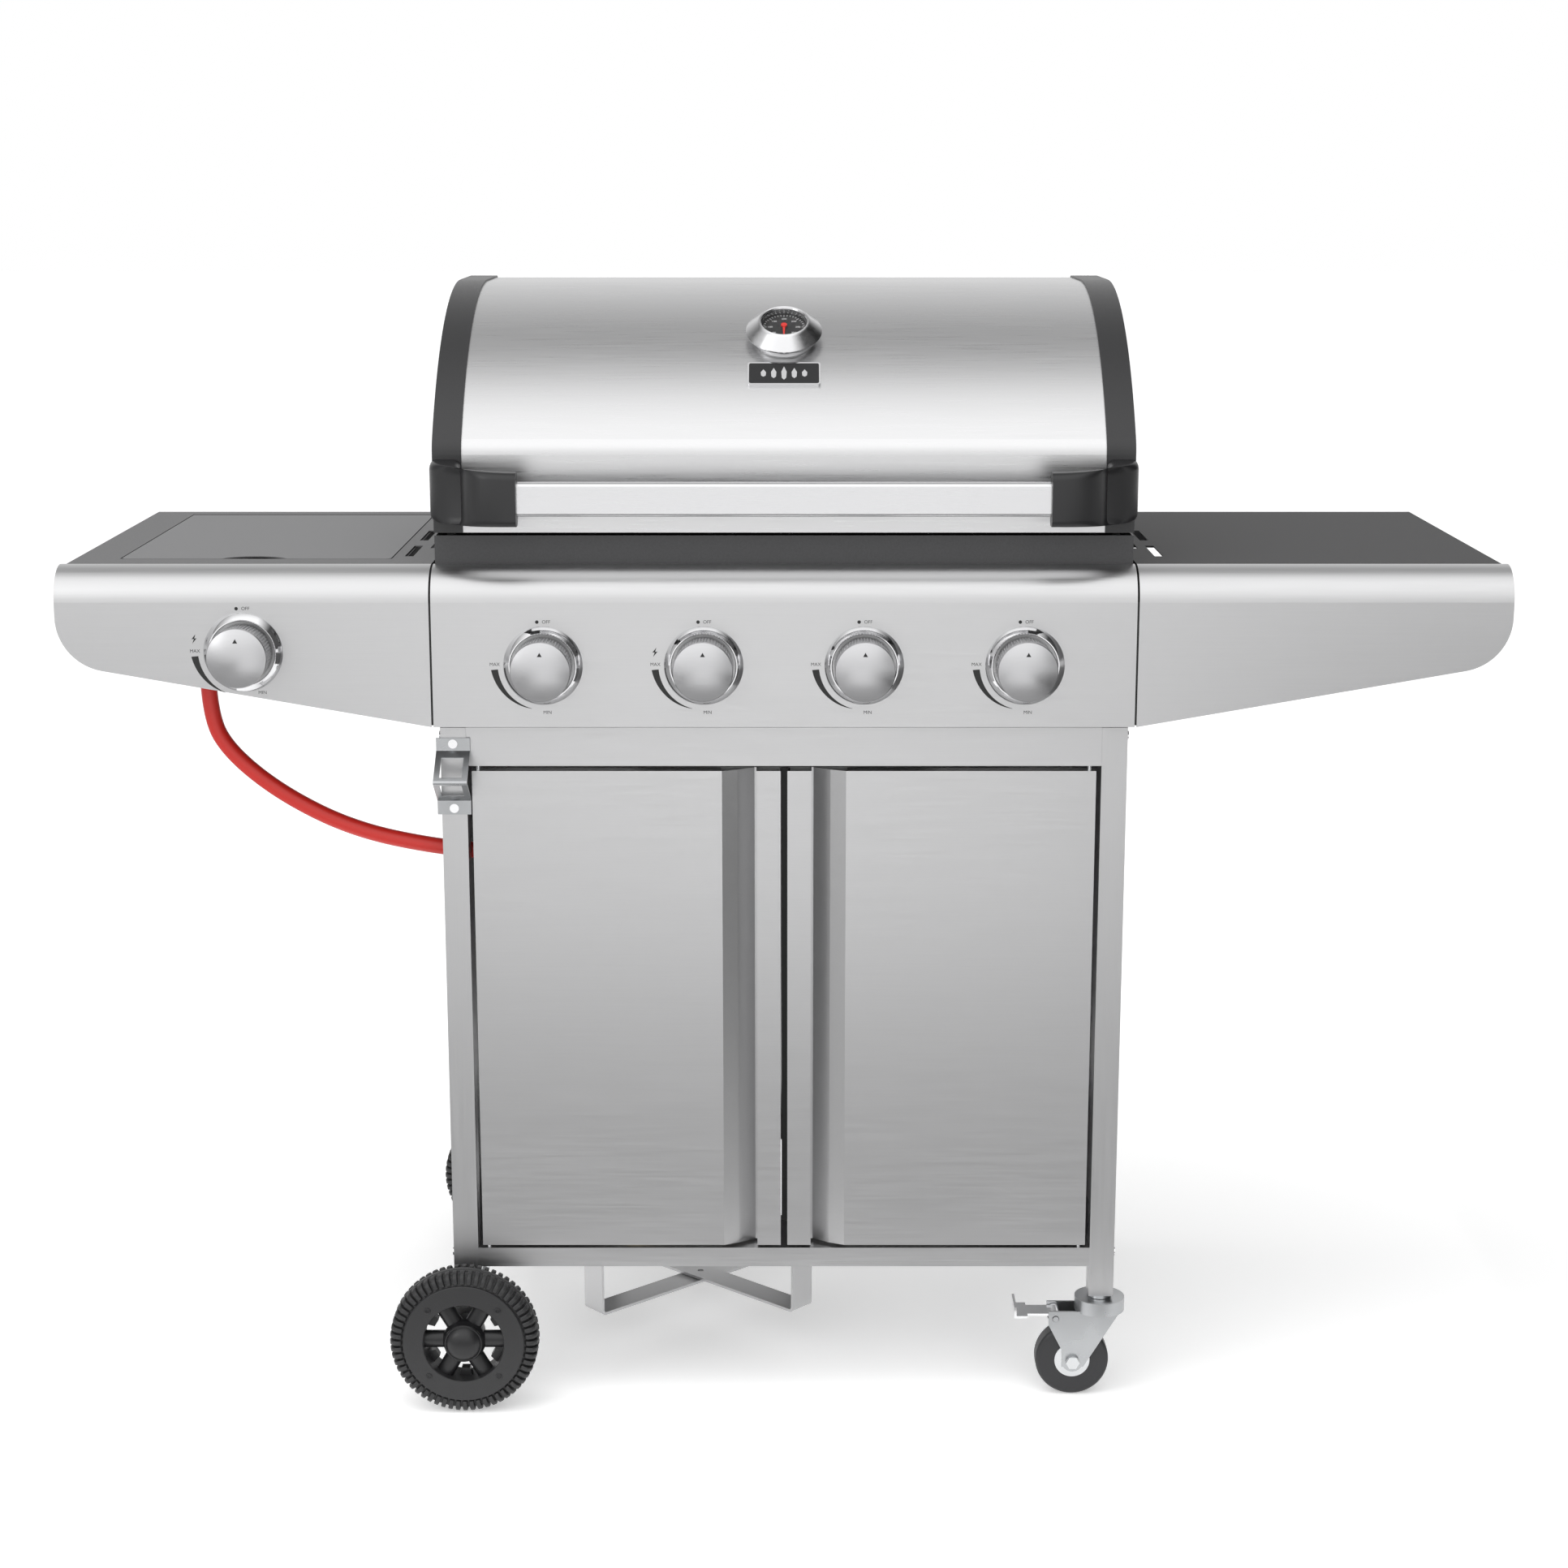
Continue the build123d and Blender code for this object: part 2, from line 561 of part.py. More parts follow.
bracket_x = (252, 340.5)
bracket_y0 = panel_y - 37
bracket_z = (hood_low + 12, hood_low + 67)
socket_gap = 0.1
with BuildPart() as handle_brackets:
    with BuildSketch(Plane.XY.offset(bracket_z[0])):
        with BuildLine():
            back = hood_y0 - rim_proud - socket_gap
            Polyline((bracket_x[0], bar_y[1] + 6), (bracket_x[0], bracket_y0), (bracket_x[1] - 42, bracket_y0))
            RadiusArc((bracket_x[1] - 42, bracket_y0), (bracket_x[1], bracket_y0 + 42), 42)
            Polyline((bracket_x[1], bracket_y0 + 42), (bracket_x[1], back), (steel_half, back))
            RadiusArc((steel_half, back), (steel_half - 24, bar_y[1] + 6), -24)
            Line((steel_half - 24, bar_y[1] + 6), (bracket_x[0], bar_y[1] + 6))
        make_face()
    extrude(amount=bracket_z[1] - bracket_z[0])
    socket = [(low - socket_gap, high + socket_gap) for low, high in (bar_y, bar_z)]
    block((bracket_x[0] - 1, bar_x + socket_gap), *socket, Mode.SUBTRACT)
    mirror(about=Plane.YZ)
keep(handle_brackets.part, "handle_brackets")

case_high = 22
glass_r = 22
with BuildPart() as thermometer_case:
    with Locations(Plane(dial.origin - dial.z_dir * 3, x_dir=(1, 0, 0), z_dir=dial.z_dir)):
        Cylinder(29, 12, align=(Align.CENTER, Align.CENTER, Align.MIN))
    with Locations(Plane(dial.origin + dial.z_dir * 8, x_dir=(1, 0, 0), z_dir=dial.z_dir)):
        Cylinder(dial_r, 4, align=(Align.CENTER, Align.CENTER, Align.MIN))
    with Locations(Plane(dial.origin + dial.z_dir * 12, x_dir=(1, 0, 0), z_dir=dial.z_dir)):
        Cone(dial_r, glass_r + 2, case_high - 12, align=(Align.CENTER, Align.CENTER, Align.MIN))
    rod(dial.origin + dial.z_dir * 12, dial.z_dir, glass_r, 20, Mode.SUBTRACT)
    with Locations(hood_axis):
        Cylinder(hood_arc + 0.02, 400, align=(Align.CENTER, Align.CENTER, Align.MIN), mode=Mode.SUBTRACT)
    rod(dial.origin - dial.z_dir * 40, dial.z_dir, probe_r, 50)
keep(thermometer_case.part, "thermometer_case")

with BuildPart() as thermometer_lens:
    rod(dial.origin + dial.z_dir * (case_high - 4), dial.z_dir, glass_r - run, 2)
keep(thermometer_lens.part, "thermometer_lens")

needle_z = 15
with BuildPart() as thermometer_needle:
    centre = dial.origin + dial.z_dir * needle_z
    rod(centre, dial.z_dir, 3, 1.5)
    with BuildSketch(Plane(centre, x_dir=(1, 0, 0), z_dir=dial.z_dir)):
        with BuildLine():
            Polyline((-1.6, 4), (1.6, 4), (0.5, -17), (-0.5, -17), (-1.6, 4))
        make_face()
    extrude(amount=1)
keep(thermometer_needle.part, "thermometer_needle")

badge = (71, 30)
badge_plane = on_arc(badge_angle)
with BuildPart() as hood_badge:
    with BuildSketch(Plane(badge_plane.origin - badge_plane.z_dir, x_dir=(1, 0, 0), z_dir=badge_plane.z_dir)):
        RectangleRounded(*badge, 3)
    extrude(amount=4)
    with Locations(hood_axis):
        Cylinder(hood_arc + 0.02, 400, align=(Align.CENTER, Align.CENTER, Align.MIN), mode=Mode.SUBTRACT)
keep(hood_badge.part, "hood_badge")

# ---- the doors, each on two upright pins
door_z = (163.6, 656.7)
door_edge = 306
door_mid = 3.3
door_crease = 61
door_bar = 28
door_deep = 19
door_pin = (300, leg_y0 + 6)
door_pin_r = 2.5
door_sheet = 1
with BuildPart() as door_hinge_pins:
    for side in (-1, 1):
        rod((side * door_pin[0], door_pin[1], shelf_z), (0, 0, 1), door_pin_r, door_z[0] + 8 - shelf_z)
        rod((side * door_pin[0], door_pin[1], door_z[1] - 8), (0, 0, 1), door_pin_r, rail_low - door_z[1] + 8)
keep(door_hinge_pins.part, "door_hinge_pins")

for side, name in ((-1, "door_left"), (1, "door_right")):
    with BuildPart() as door:
        y = leg_y0 + door_sheet / 2
        half = door_sheet / 2
        line = [(door_edge - half, y + 14), (door_edge - half, y), (door_crease, y), (46, y + 7)]
        line += [(door_bar + half, y + door_deep), (door_bar - half - 1, y + door_deep)]
        line += [(door_bar - half - 1, y), (door_mid + half, y), (door_mid + half, y + 14)]
        with BuildSketch(Plane.XY.offset(door_z[0])):
            with BuildLine():
                Polyline(*line)
            trace(line_width=door_sheet)
        extrude(amount=door_z[1] - door_z[0])
        for z in (door_z[0], door_z[1] - 1.5):
            block((door_crease + 1, door_edge - half), (y, y + 14), (z, z + 1.5))
            hole = (door_pin[0], door_pin[1], z - 1)
            rod(hole, (0, 0, 1), door_pin_r + run, 4, Mode.SUBTRACT)
        block((door_mid + half, door_crease + 2), (y + 18, y + 19.4), door_z)
        if side == -1:
            mirror(about=Plane.YZ, mode=Mode.REPLACE)
    keep(door.part, name)

# ---- big wheels on an axle, at the left
wheel_face = (panel_y - 20, panel_y + 460)
hub_r = 19
wheel_hub_r = 40.7
axle_y = (wheel_face[0] + 6, wheel_face[1] + wheel_width - 6)
with BuildPart() as wheel_axle:
    rod((-leg_x, axle_y[0], axle_z), (0, 1, 0), axle_r, axle_y[1] - axle_y[0])
keep(wheel_axle.part, "wheel_axle")

for name, y, outward in (("wheel_front", wheel_face[0], -1), ("wheel_rear", wheel_face[1], 1)):
    with BuildPart() as wheel:
        middle = y + wheel_width / 2
        centre = Plane((-leg_x, middle, axle_z), x_dir=(1, 0, 0), z_dir=(0, outward, 0))
        with Locations(centre):
            Cylinder(wheel_r, wheel_width)
            Cylinder(wheel_hub_r, wheel_width + 2, mode=Mode.SUBTRACT)
            Cylinder(hub_r, wheel_width)
        face = centre.origin + centre.z_dir * (wheel_width / 2)
        with Locations(Plane(face, x_dir=(1, 0, 0), z_dir=centre.z_dir)):
            Cone(hub_r, hub_r - 6, 7.5, align=(Align.CENTER, Align.CENTER, Align.MIN))
        spoke_base = centre.origin - centre.z_dir * 8
        with BuildSketch(Plane(spoke_base, x_dir=(1, 0, 0), z_dir=centre.z_dir)):
            with PolarLocations((hub_r + wheel_hub_r) / 2, 6):
                Rectangle(wheel_hub_r - hub_r + 4, 12)
        extrude(amount=20)
        bore_y = axle_y[0] - 1 if outward == -1 else y - 1
        rod((-leg_x, bore_y, axle_z), (0, 1, 0), axle_r + run, wheel_width - 4, Mode.SUBTRACT)
    keep(wheel.part, name)

# ---- swivel castors with brakes, at the right
caster_x = leg_x - caster_trail
cup_r = 25.5
cup_z = (90, 104)
cheek = 2.5
caster_width = 22
fork_half = caster_width / 2 + 1.5
brake_pin = (caster_x - 18, 84)
pedal_tip = 235
with BuildPart() as caster_stems:
    for y in (front_leg_y, rear_leg_y):
        rod((leg_x, y, cup_z[0] - 2), (0, 0, 1), 5, 50)
        rod((leg_x, y, cup_z[1] + gap), (0, 0, 1), leg / 2 - 0.5, caster_top - cup_z[1] - gap)
        rod((leg_x, y, cup_z[0] - 5), (0, 0, 1), 8, 4.5)
keep(caster_stems.part, "caster_stems")

for name, y in (("front", front_leg_y), ("rear", rear_leg_y)):
    with BuildPart() as fork:
        rod((leg_x, y, cup_z[0]), (0, 0, 1), cup_r, cup_z[1] - cup_z[0])
        rod((leg_x, y, cup_z[0] - 1), (0, 0, 1), 5 + run, 30, Mode.SUBTRACT)
        for side in (-1, 1):
            start = y + side * (fork_half + cheek / 2) - cheek / 2
            with BuildSketch(Plane((0, start, 0), x_dir=(1, 0, 0), z_dir=(0, -1, 0))):
                with BuildLine():
                    Polyline(
                        (leg_x + 20, cup_z[0] + 2),
                        (caster_x + 11, caster_r - 6),
                        (caster_x - 11, caster_r - 6),
                        (caster_x - 11, caster_r + 12),
                        (brake_pin[0] - 7, brake_pin[1] - 7),
                        (brake_pin[0] - 7, cup_z[0] + 2),
                        (leg_x + 20, cup_z[0] + 2),
                    )
                make_face()
                with Locations((caster_x, caster_r)):
                    Circle(11)
            extrude(amount=-cheek)
        for x, z, r in ((caster_x, caster_r, fork_pin_r), (*brake_pin, 3)):
            rod((x, y - fork_half - 4, z), (0, 1, 0), r + gap, 2 * fork_half + 8, Mode.SUBTRACT)
        end = fork_half + cheek
        rod((caster_x, y - end - 4, caster_r), (0, 1, 0), fork_pin_r, 2 * end + 8)
        for side in (-1, 1):
            rod((caster_x, y + side * (end + 2) - 2, caster_r), (0, 1, 0), fork_pin_r + 3, 4)
        rod((brake_pin[0], y - end - 1, brake_pin[1]), (0, 1, 0), 3, 2 * end + 2)
    keep(fork.part, "caster_fork_" + name)

    with BuildPart() as roller:
        with Locations(Plane((caster_x, y, caster_r), z_dir=(0, 1, 0))):
            Cylinder(caster_r, caster_width)
            fillet(roller.edges(), 4)
            Cylinder(fork_pin_r + run, caster_width + 2, mode=Mode.SUBTRACT)
    keep(roller.part, "caster_wheel_" + name)

    with BuildPart() as brake:
        half = fork_half - 1
        with Locations(Plane((brake_pin[0], y, brake_pin[1]), z_dir=(0, 1, 0))):
            Cylinder(6, 2 * half)
        pad_z = (brake_pin[1] + 2, brake_pin[1] + 4.5)
        block((pedal_tip + 12, brake_pin[0] - 3), (y - half, y + half), pad_z)
        block((pedal_tip, pedal_tip + 14), (y - 18, y + 18), (brake_pin[1] + 2, brake_pin[1] + 4.5))
        block((pedal_tip, pedal_tip + 2.5), (y - 18, y + 18), (brake_pin[1] + 2, brake_pin[1] + 14))
        with Locations(Plane((brake_pin[0], y, brake_pin[1]), z_dir=(0, 1, 0))):
            Cylinder(3 + run, 2 * half + 2, mode=Mode.SUBTRACT)
    keep(brake.part, "caster_brake_" + name)


# ---- the grease tray, which slides out at the back under the firebox floor
with BuildPart() as grease_tray:
    block((-tray_half, tray_half), tray_y, tray_z)
    inner_x = (-tray_half + sheet, tray_half - sheet)
    inner_y = (tray_y[0] + sheet, tray_y[1] - sheet)
    block(inner_x, inner_y, (tray_z[0] + sheet, leg_top), Mode.SUBTRACT)
    block((-60, 60), (tray_y[1], tray_y[1] + 18), (tray_z[0] + 6, tray_z[0] + 6 + sheet))
keep(grease_tray.part, "grease_tray")

# ---- the gas hose: from the nozzle under the left shelf into the cabinet
hose_r = 8
hose_route = [
    (hose_x, hose_y, nozzle_z),
    (-569, hose_y, 704),
    (-551, hose_y, 667),
    (-500, hose_y, 624),
    (-430, hose_y, 588),
    (-348, hose_y, 570),
    (-270, hose_y + 1, 563),
    (-205, hose_y + 3, 545),
    (-165, hose_y + 5, 495),
    (-152, hose_y + 8, 425),
    (-156, hose_y + 12, 350),
    (-152, hose_y + 14, 290),
    (-152, hose_y + 15, 250),
]
bends = []
for before, at, after in zip(hose_route, hose_route[1:], hose_route[2:]):
    first = Vector(*at) - Vector(*before)
    second = Vector(*after) - Vector(*at)
    half_turn = radians(first.get_angle(second)) / 2
    bends.append(0.45 * min(first.length, second.length) * cos(half_turn) / sin(half_turn))
print("hose radii", [round(radius) for radius in bends])
with BuildPart() as gas_hose:
    with BuildLine() as hose_line:
        FilletPolyline(*hose_route, radius=bends)
    with BuildSketch(Plane(hose_route[0], z_dir=(0, 0, -1))) as hose_section:
        Circle(hose_r)
    sweep()
hose_length = hose_line.wires()[0].length
hose_area = hose_section.sketch.area
print("hose length", round(hose_length), "volume share", gas_hose.part.volume / hose_length / hose_area)
keep(gas_hose.part, "gas_hose")

hose_end = Vector(*hose_route[-1])
down = hose_end - Vector(*hose_route[-2])
down = down.normalized()
with BuildPart() as gas_regulator:
    rod(hose_end, down, 11, 22)
    rod(hose_end + down * 22, down, 31, 14)
    rod(hose_end + down * 36, down, 26, 10)
    rod(hose_end + down * 46, down, 12, 26)
keep(gas_regulator.part, "gas_regulator")

# ---- screws: two on the opener, two on the outside of each leg
head_r = 4.5
with BuildPart() as cart_screws:
    for z in opener_screw_z:
        rod((-leg_x, leg_y0 - opener_sheet, z), (0, 1, 0), screw_r, 9)
        rod((-leg_x, leg_y0 - opener_sheet - 2, z), (0, 1, 0), head_r, 2)
    for side in (-1, 1):
        for y in (front_leg_y, rear_leg_y):
            for z in screw_z:
                rod((side * (cart_half - 8), y, z), (side, 0, 0), screw_r, 8)
                rod((side * cart_half, y, z), (side, 0, 0), head_r, 2)
keep(cart_screws.part, "cart_screws")
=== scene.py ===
"""Gas grill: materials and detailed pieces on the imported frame. Metres, +Y to the back."""
import json
import math

import bmesh
import bpy
from mathutils import Matrix, Vector


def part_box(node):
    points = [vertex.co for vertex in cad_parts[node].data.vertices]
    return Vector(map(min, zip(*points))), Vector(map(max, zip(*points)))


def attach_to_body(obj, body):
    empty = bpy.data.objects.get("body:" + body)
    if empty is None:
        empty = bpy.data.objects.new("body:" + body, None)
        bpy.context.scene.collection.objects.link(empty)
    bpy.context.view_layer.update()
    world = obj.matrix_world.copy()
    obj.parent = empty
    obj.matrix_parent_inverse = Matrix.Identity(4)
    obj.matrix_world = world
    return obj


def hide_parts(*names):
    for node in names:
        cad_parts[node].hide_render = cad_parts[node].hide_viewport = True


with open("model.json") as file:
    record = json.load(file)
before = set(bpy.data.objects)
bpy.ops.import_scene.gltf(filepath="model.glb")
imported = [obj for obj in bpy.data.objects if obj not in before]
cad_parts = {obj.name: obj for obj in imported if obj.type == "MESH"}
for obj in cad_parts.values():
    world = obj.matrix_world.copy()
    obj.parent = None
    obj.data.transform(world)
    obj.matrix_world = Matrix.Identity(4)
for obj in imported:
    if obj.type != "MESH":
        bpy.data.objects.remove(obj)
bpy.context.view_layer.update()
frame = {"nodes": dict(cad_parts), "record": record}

PANEL_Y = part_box("control_panel")[0][1]  # front plane of the control panel
FLOOR_SIZE = 60.0
FLOOR_DROP = 0.0005  # the floor lies this far under the wheels
MM = 0.001


# ---------------------------------------------------------------- materials
def new_material(name, color, metallic, roughness):
    """A Principled material; returns it with its node tree and shader."""
    mat = bpy.data.materials.new(name)
    mat.use_nodes = True
    tree = mat.node_tree
    shader = tree.nodes["Principled BSDF"]
    shader.inputs["Base Color"].default_value = (*color, 1)
    shader.inputs["Metallic"].default_value = metallic
    shader.inputs["Roughness"].default_value = roughness
    return mat, tree, shader


def noise(tree, scale, detail, stretch=(1, 1, 1)):
    """Noise in object space, stretched by scaling its coordinates."""
    coords = tree.nodes.new("ShaderNodeTexCoord")
    mapping = tree.nodes.new("ShaderNodeMapping")
    mapping.inputs["Scale"].default_value = stretch
    texture = tree.nodes.new("ShaderNodeTexNoise")
    texture.inputs["Scale"].default_value = scale
    texture.inputs["Detail"].default_value = detail
    tree.links.new(coords.outputs["Object"], mapping.inputs["Vector"])
    tree.links.new(mapping.outputs["Vector"], texture.inputs["Vector"])
    return texture


def vary(tree, source, low, high, socket):
    """Drive a socket between two values by a texture's 0 to 1 output."""
    spread = tree.nodes.new("ShaderNodeMapRange")
    spread.inputs["From Min"].default_value = 0.3
    spread.inputs["From Max"].default_value = 0.7
    spread.inputs["To Min"].default_value = low
    spread.inputs["To Max"].default_value = high
    tree.links.new(source.outputs["Fac"], spread.inputs["Value"])
    tree.links.new(spread.outputs["Result"], socket)


def tint(tree, source, dark, light, socket):
    """Colour a socket between two colours by a texture's output."""
    ramp = tree.nodes.new("ShaderNodeValToRGB")
    ramp.color_ramp.elements[0].position = 0.3
    ramp.color_ramp.elements[1].position = 0.7
    ramp.color_ramp.elements[0].color = (*dark, 1)
    ramp.color_ramp.elements[1].color = (*light, 1)
    tree.links.new(source.outputs["Fac"], ramp.inputs["Fac"])
    tree.links.new(ramp.outputs["Color"], socket)


def bump(tree, shader, source, strength, distance):
    """Raise the surface by a texture."""
    node = tree.nodes.new("ShaderNodeBump")
    node.inputs["Strength"].default_value = strength
    node.inputs["Distance"].default_value = distance
    tree.links.new(source.outputs["Fac"], node.inputs["Height"])
    tree.links.new(node.outputs["Normal"], shader.inputs["Normal"])


def brushed(name, color, roughness, grain=(1, 60, 60), depth=0.06):
    """Brushed stainless: fine scratches along one axis, slightly uneven gloss."""
    mat, tree, shader = new_material(name, color, 1.0, roughness)
    fine = noise(tree, 14, 8, grain)
    dark = [c * 0.97 for c in color]
    tint(tree, fine, dark, color, shader.inputs["Base Color"])
    vary(tree, fine, roughness - 0.04, roughness + 0.06, shader.inputs["Roughness"])
    bump(tree, shader, fine, depth, 0.0004)
    return mat


def enamel(name, color, roughness, scale=900, depth=0.25):
    """Textured powder coat or vitreous enamel."""
    mat, tree, shader = new_material(name, color, 0.0, roughness)
    grain = noise(tree, scale, 3)
    light = [c * 1.25 for c in color]
    tint(tree, grain, color, light, shader.inputs["Base Color"])
    vary(tree, grain, roughness - 0.05, roughness + 0.08, shader.inputs["Roughness"])
    bump(tree, shader, grain, depth, 0.0006)
    return mat


def polished(name, color, roughness):
    """Chrome or polished metal with faint unevenness."""
    mat, tree, shader = new_material(name, color, 1.0, roughness)
    cloud = noise(tree, 30, 2)
    vary(tree, cloud, roughness * 0.8, roughness * 1.3, shader.inputs["Roughness"])
    return mat


def plastic(name, color, roughness, scale=1500, depth=0.12):
    """Moulded plastic or rubber with a fine grain."""
    mat, tree, shader = new_material(name, color, 0.0, roughness)
    grain = noise(tree, scale, 2)
    vary(tree, grain, roughness - 0.04, roughness + 0.06, shader.inputs["Roughness"])
    bump(tree, shader, grain, depth, 0.0003)
    return mat


STEEL = brushed("brushed_steel", (0.60, 0.60, 0.605), 0.34)
STEEL_UP = brushed("brushed_steel_upright", (0.60, 0.60, 0.605), 0.36, (60, 60, 1))
HOOD_STEEL = brushed("hood_steel", (0.66, 0.66, 0.665), 0.30, (1, 45, 45), 0.04)
BEZEL_STEEL = brushed("bezel_steel", (0.68, 0.68, 0.69), 0.20, (20, 20, 20), 0.02)
BAR_STEEL = brushed("bar_steel", (0.70, 0.70, 0.71), 0.22, (1, 80, 80), 0.04)
CHROME = polished("chrome", (0.78, 0.78, 0.79), 0.07)
KNOB_FACE = brushed("knob_face", (0.56, 0.56, 0.57), 0.32, (1, 50, 50), 0.03)
ZINC = polished("zinc", (0.66, 0.67, 0.68), 0.22)
FORK_ZINC = polished("fork_zinc", (0.46, 0.47, 0.48), 0.30)
BRASS = polished("brass", (0.68, 0.50, 0.22), 0.25)
ENAMEL = enamel("firebox_enamel", (0.040, 0.040, 0.042), 0.42, 420, 0.5)
SHELF_ENAMEL = enamel("shelf_enamel", (0.022, 0.022, 0.023), 0.58)
LEFT_ENAMEL = enamel("left_shelf_enamel", (0.085, 0.085, 0.087), 0.52)
LID_ENAMEL = enamel("lid_enamel", (0.120, 0.120, 0.123), 0.50)
CAST_BLACK = enamel("cap_black", (0.018, 0.018, 0.019), 0.36, 1100, 0.15)
BLACK = plastic("black_plastic", (0.012, 0.012, 0.013), 0.34)
TYRE = plastic("tyre_black", (0.022, 0.022, 0.023), 0.45, 700, 0.3)
RUBBER = plastic("castor_rubber", (0.020, 0.020, 0.022), 0.42)
HOSE_RED = plastic("hose_red", (0.52, 0.018, 0.012), 0.38, 900, 0.15)
IRON = enamel("cast_iron", (0.022, 0.022, 0.023), 0.62, 500, 0.7)
INK = plastic("printed_black", (0.012, 0.012, 0.012), 0.5)
WHITE_INK = plastic("printed_white", (0.75, 0.75, 0.75), 0.5)
NEEDLE_RED = plastic("needle_red", (0.70, 0.02, 0.01), 0.35)
DIAL_BLACK = plastic("dial_black", (0.008, 0.008, 0.009), 0.45)
GLASS, glass_tree, glass_shader = new_material("dial_glass", (1, 1, 1), 0.0, 0.03)
glass_shader.inputs["Transmission Weight"].default_value = 1.0
glass_shader.inputs["IOR"].default_value = 1.2

SLOT_MATERIALS = {
    "stainless": STEEL,
    "hood_steel": HOOD_STEEL,
    "chrome": CHROME,
    "dark_enamel": SHELF_ENAMEL,
    "black_cast": CAST_BLACK,
    "black_plastic": BLACK,
    "black_tyre": TYRE,
    "caster_rubber": RUBBER,
    "cast_iron": IRON,
    "galvanised": ZINC,
    "knob_metal": KNOB_FACE,
    "brass": BRASS,
    "red_hose": HOSE_RED,
    "dial_glass": GLASS,
    "needle_red": NEEDLE_RED,
    "badge": BLACK,
}
OWN_MATERIALS = {
    "firebox": ENAMEL,
    "side_burner_lid": LID_ENAMEL,
    "shelf_top_left": LEFT_ENAMEL,
    "handle_bar": BAR_STEEL,
    "front_legs": STEEL_UP,
    "rear_legs": STEEL_UP,
    "caster_stems": ZINC,
    "caster_fork_front": FORK_ZINC,
    "caster_fork_rear": FORK_ZINC,
    "bottle_opener": FORK_ZINC,
    "hood_end_caps": CAST_BLACK,
}


def dress_nodes():
    """Give every CAD node the material of its record slot, or its own."""
    slot_of = {row["node"]: row["material_slot"] for row in frame["record"]["subparts"]}
    for node, obj in frame["nodes"].items():
        mat = OWN_MATERIALS.get(node, SLOT_MATERIALS[slot_of[node]])
        if not obj.material_slots:
            obj.data.materials.append(mat)
        for slot in obj.material_slots:
            slot.material = mat


# ---------------------------------------------------------------- mesh helpers
def finish_mesh(name, mesh_maker, mat, smooth_angle=35):
    """Turn a bmesh into a named object with a material and smooth shading by angle."""
    mesh = bpy.data.meshes.new(name)
    bmesh.ops.recalc_face_normals(mesh_maker, faces=mesh_maker.faces)
    mesh_maker.to_mesh(mesh)
    mesh_maker.free()
    obj = bpy.data.objects.new(name, mesh)
    bpy.context.scene.collection.objects.link(obj)
    mesh.materials.append(mat)
    for face in mesh.polygons:
        face.use_smooth = True
    mesh.set_sharp_from_angle(angle=math.radians(smooth_angle))
    return obj


def lathe(name, profile, matrix, mat, steps=96, smooth_angle=35):
    """A closed ring turned from (radius, height, ripple) points in mm about the matrix's z axis."""
    maker = bmesh.new()
    rings = []
    for radius, height, *ripple in profile:
        ring = []
        for i in range(steps):
            turn = 2 * math.pi * i / steps
            wave = ripple[0] * (i % 4 // 2) if ripple else 0
            reach = (radius - wave) * MM
            point = Vector((reach * math.cos(turn), reach * math.sin(turn), height * MM))
            ring.append(maker.verts.new(matrix @ point))
        rings.append(ring)
    for a, b in zip(rings, rings[1:] + rings[:1]):
        for i in range(steps):
            j = (i + 1) % steps
            maker.faces.new((a[i], a[j], b[j], b[i]))
    bmesh.ops.remove_doubles(maker, verts=maker.verts, dist=1e-6)
    bmesh.ops.dissolve_degenerate(maker, edges=maker.edges, dist=1e-7)
    return finish_mesh(name, maker, mat, smooth_angle)


def prism(maker, outline, matrix, low, high):
    """Extrude a flat outline in mm, in the matrix's x and y, from low to high along z."""
    bottom = [maker.verts.new(matrix @ Vector((x * MM, y * MM, low * MM))) for x, y in outline]
    top = [maker.verts.new(matrix @ Vector((x * MM, y * MM, high * MM))) for x, y in outline]
    maker.faces.new(bottom[::-1])
    maker.faces.new(top)
    count = len(outline)
    for i in range(count):
        j = (i + 1) % count
        maker.faces.new((bottom[i], bottom[j], top[j], top[i]))


def facing(origin, normal, up=(0, 0, 1)):
    """A matrix whose z is the normal and whose y is up along the surface."""
    z = Vector(normal).normalized()
    y = (Vector(up) - z * Vector(up).dot(z)).normalized()
    x = y.cross(z)
    return Matrix.Translation(origin) @ Matrix((x, y, z)).transposed().to_4x4()


def ring_points(radius, steps, start=0.0, sweep=2 * math.pi):
    """Points along an arc of a circle."""
    return [
        (radius * math.cos(start + sweep * i / steps), radius * math.sin(start + sweep * i / steps))
        for i in range(steps + 1)
    ]


# ---------------------------------------------------------------- camera, light and floor
def add_camera():
    """The studio camera: in front, above the hood's handle, looking slightly down."""
    data = bpy.data.cameras.new("camera")
    data.lens = 64.93
    data.sensor_width = 36
    camera = bpy.data.objects.new("camera", data)
    bpy.context.scene.collection.objects.link(camera)
    camera.location = (0, PANEL_Y - 2.6835, 1.2407)
    camera.rotation_euler = (math.radians(90 - 12.43), 0, 0)
    bpy.context.scene.camera = camera


def area_light(name, location, target, size, power):
    """A rectangular soft light aimed at a point."""
    data = bpy.data.lights.new(name, "AREA")
    data.shape = "RECTANGLE"
    data.size, data.size_y = size
    data.energy = power
    light = bpy.data.objects.new(name, data)
    bpy.context.scene.collection.objects.link(light)
    light.location = location
    aim = Vector(target) - Vector(location)
    light.rotation_euler = aim.to_track_quat("-Z", "Y").to_euler()
    return light


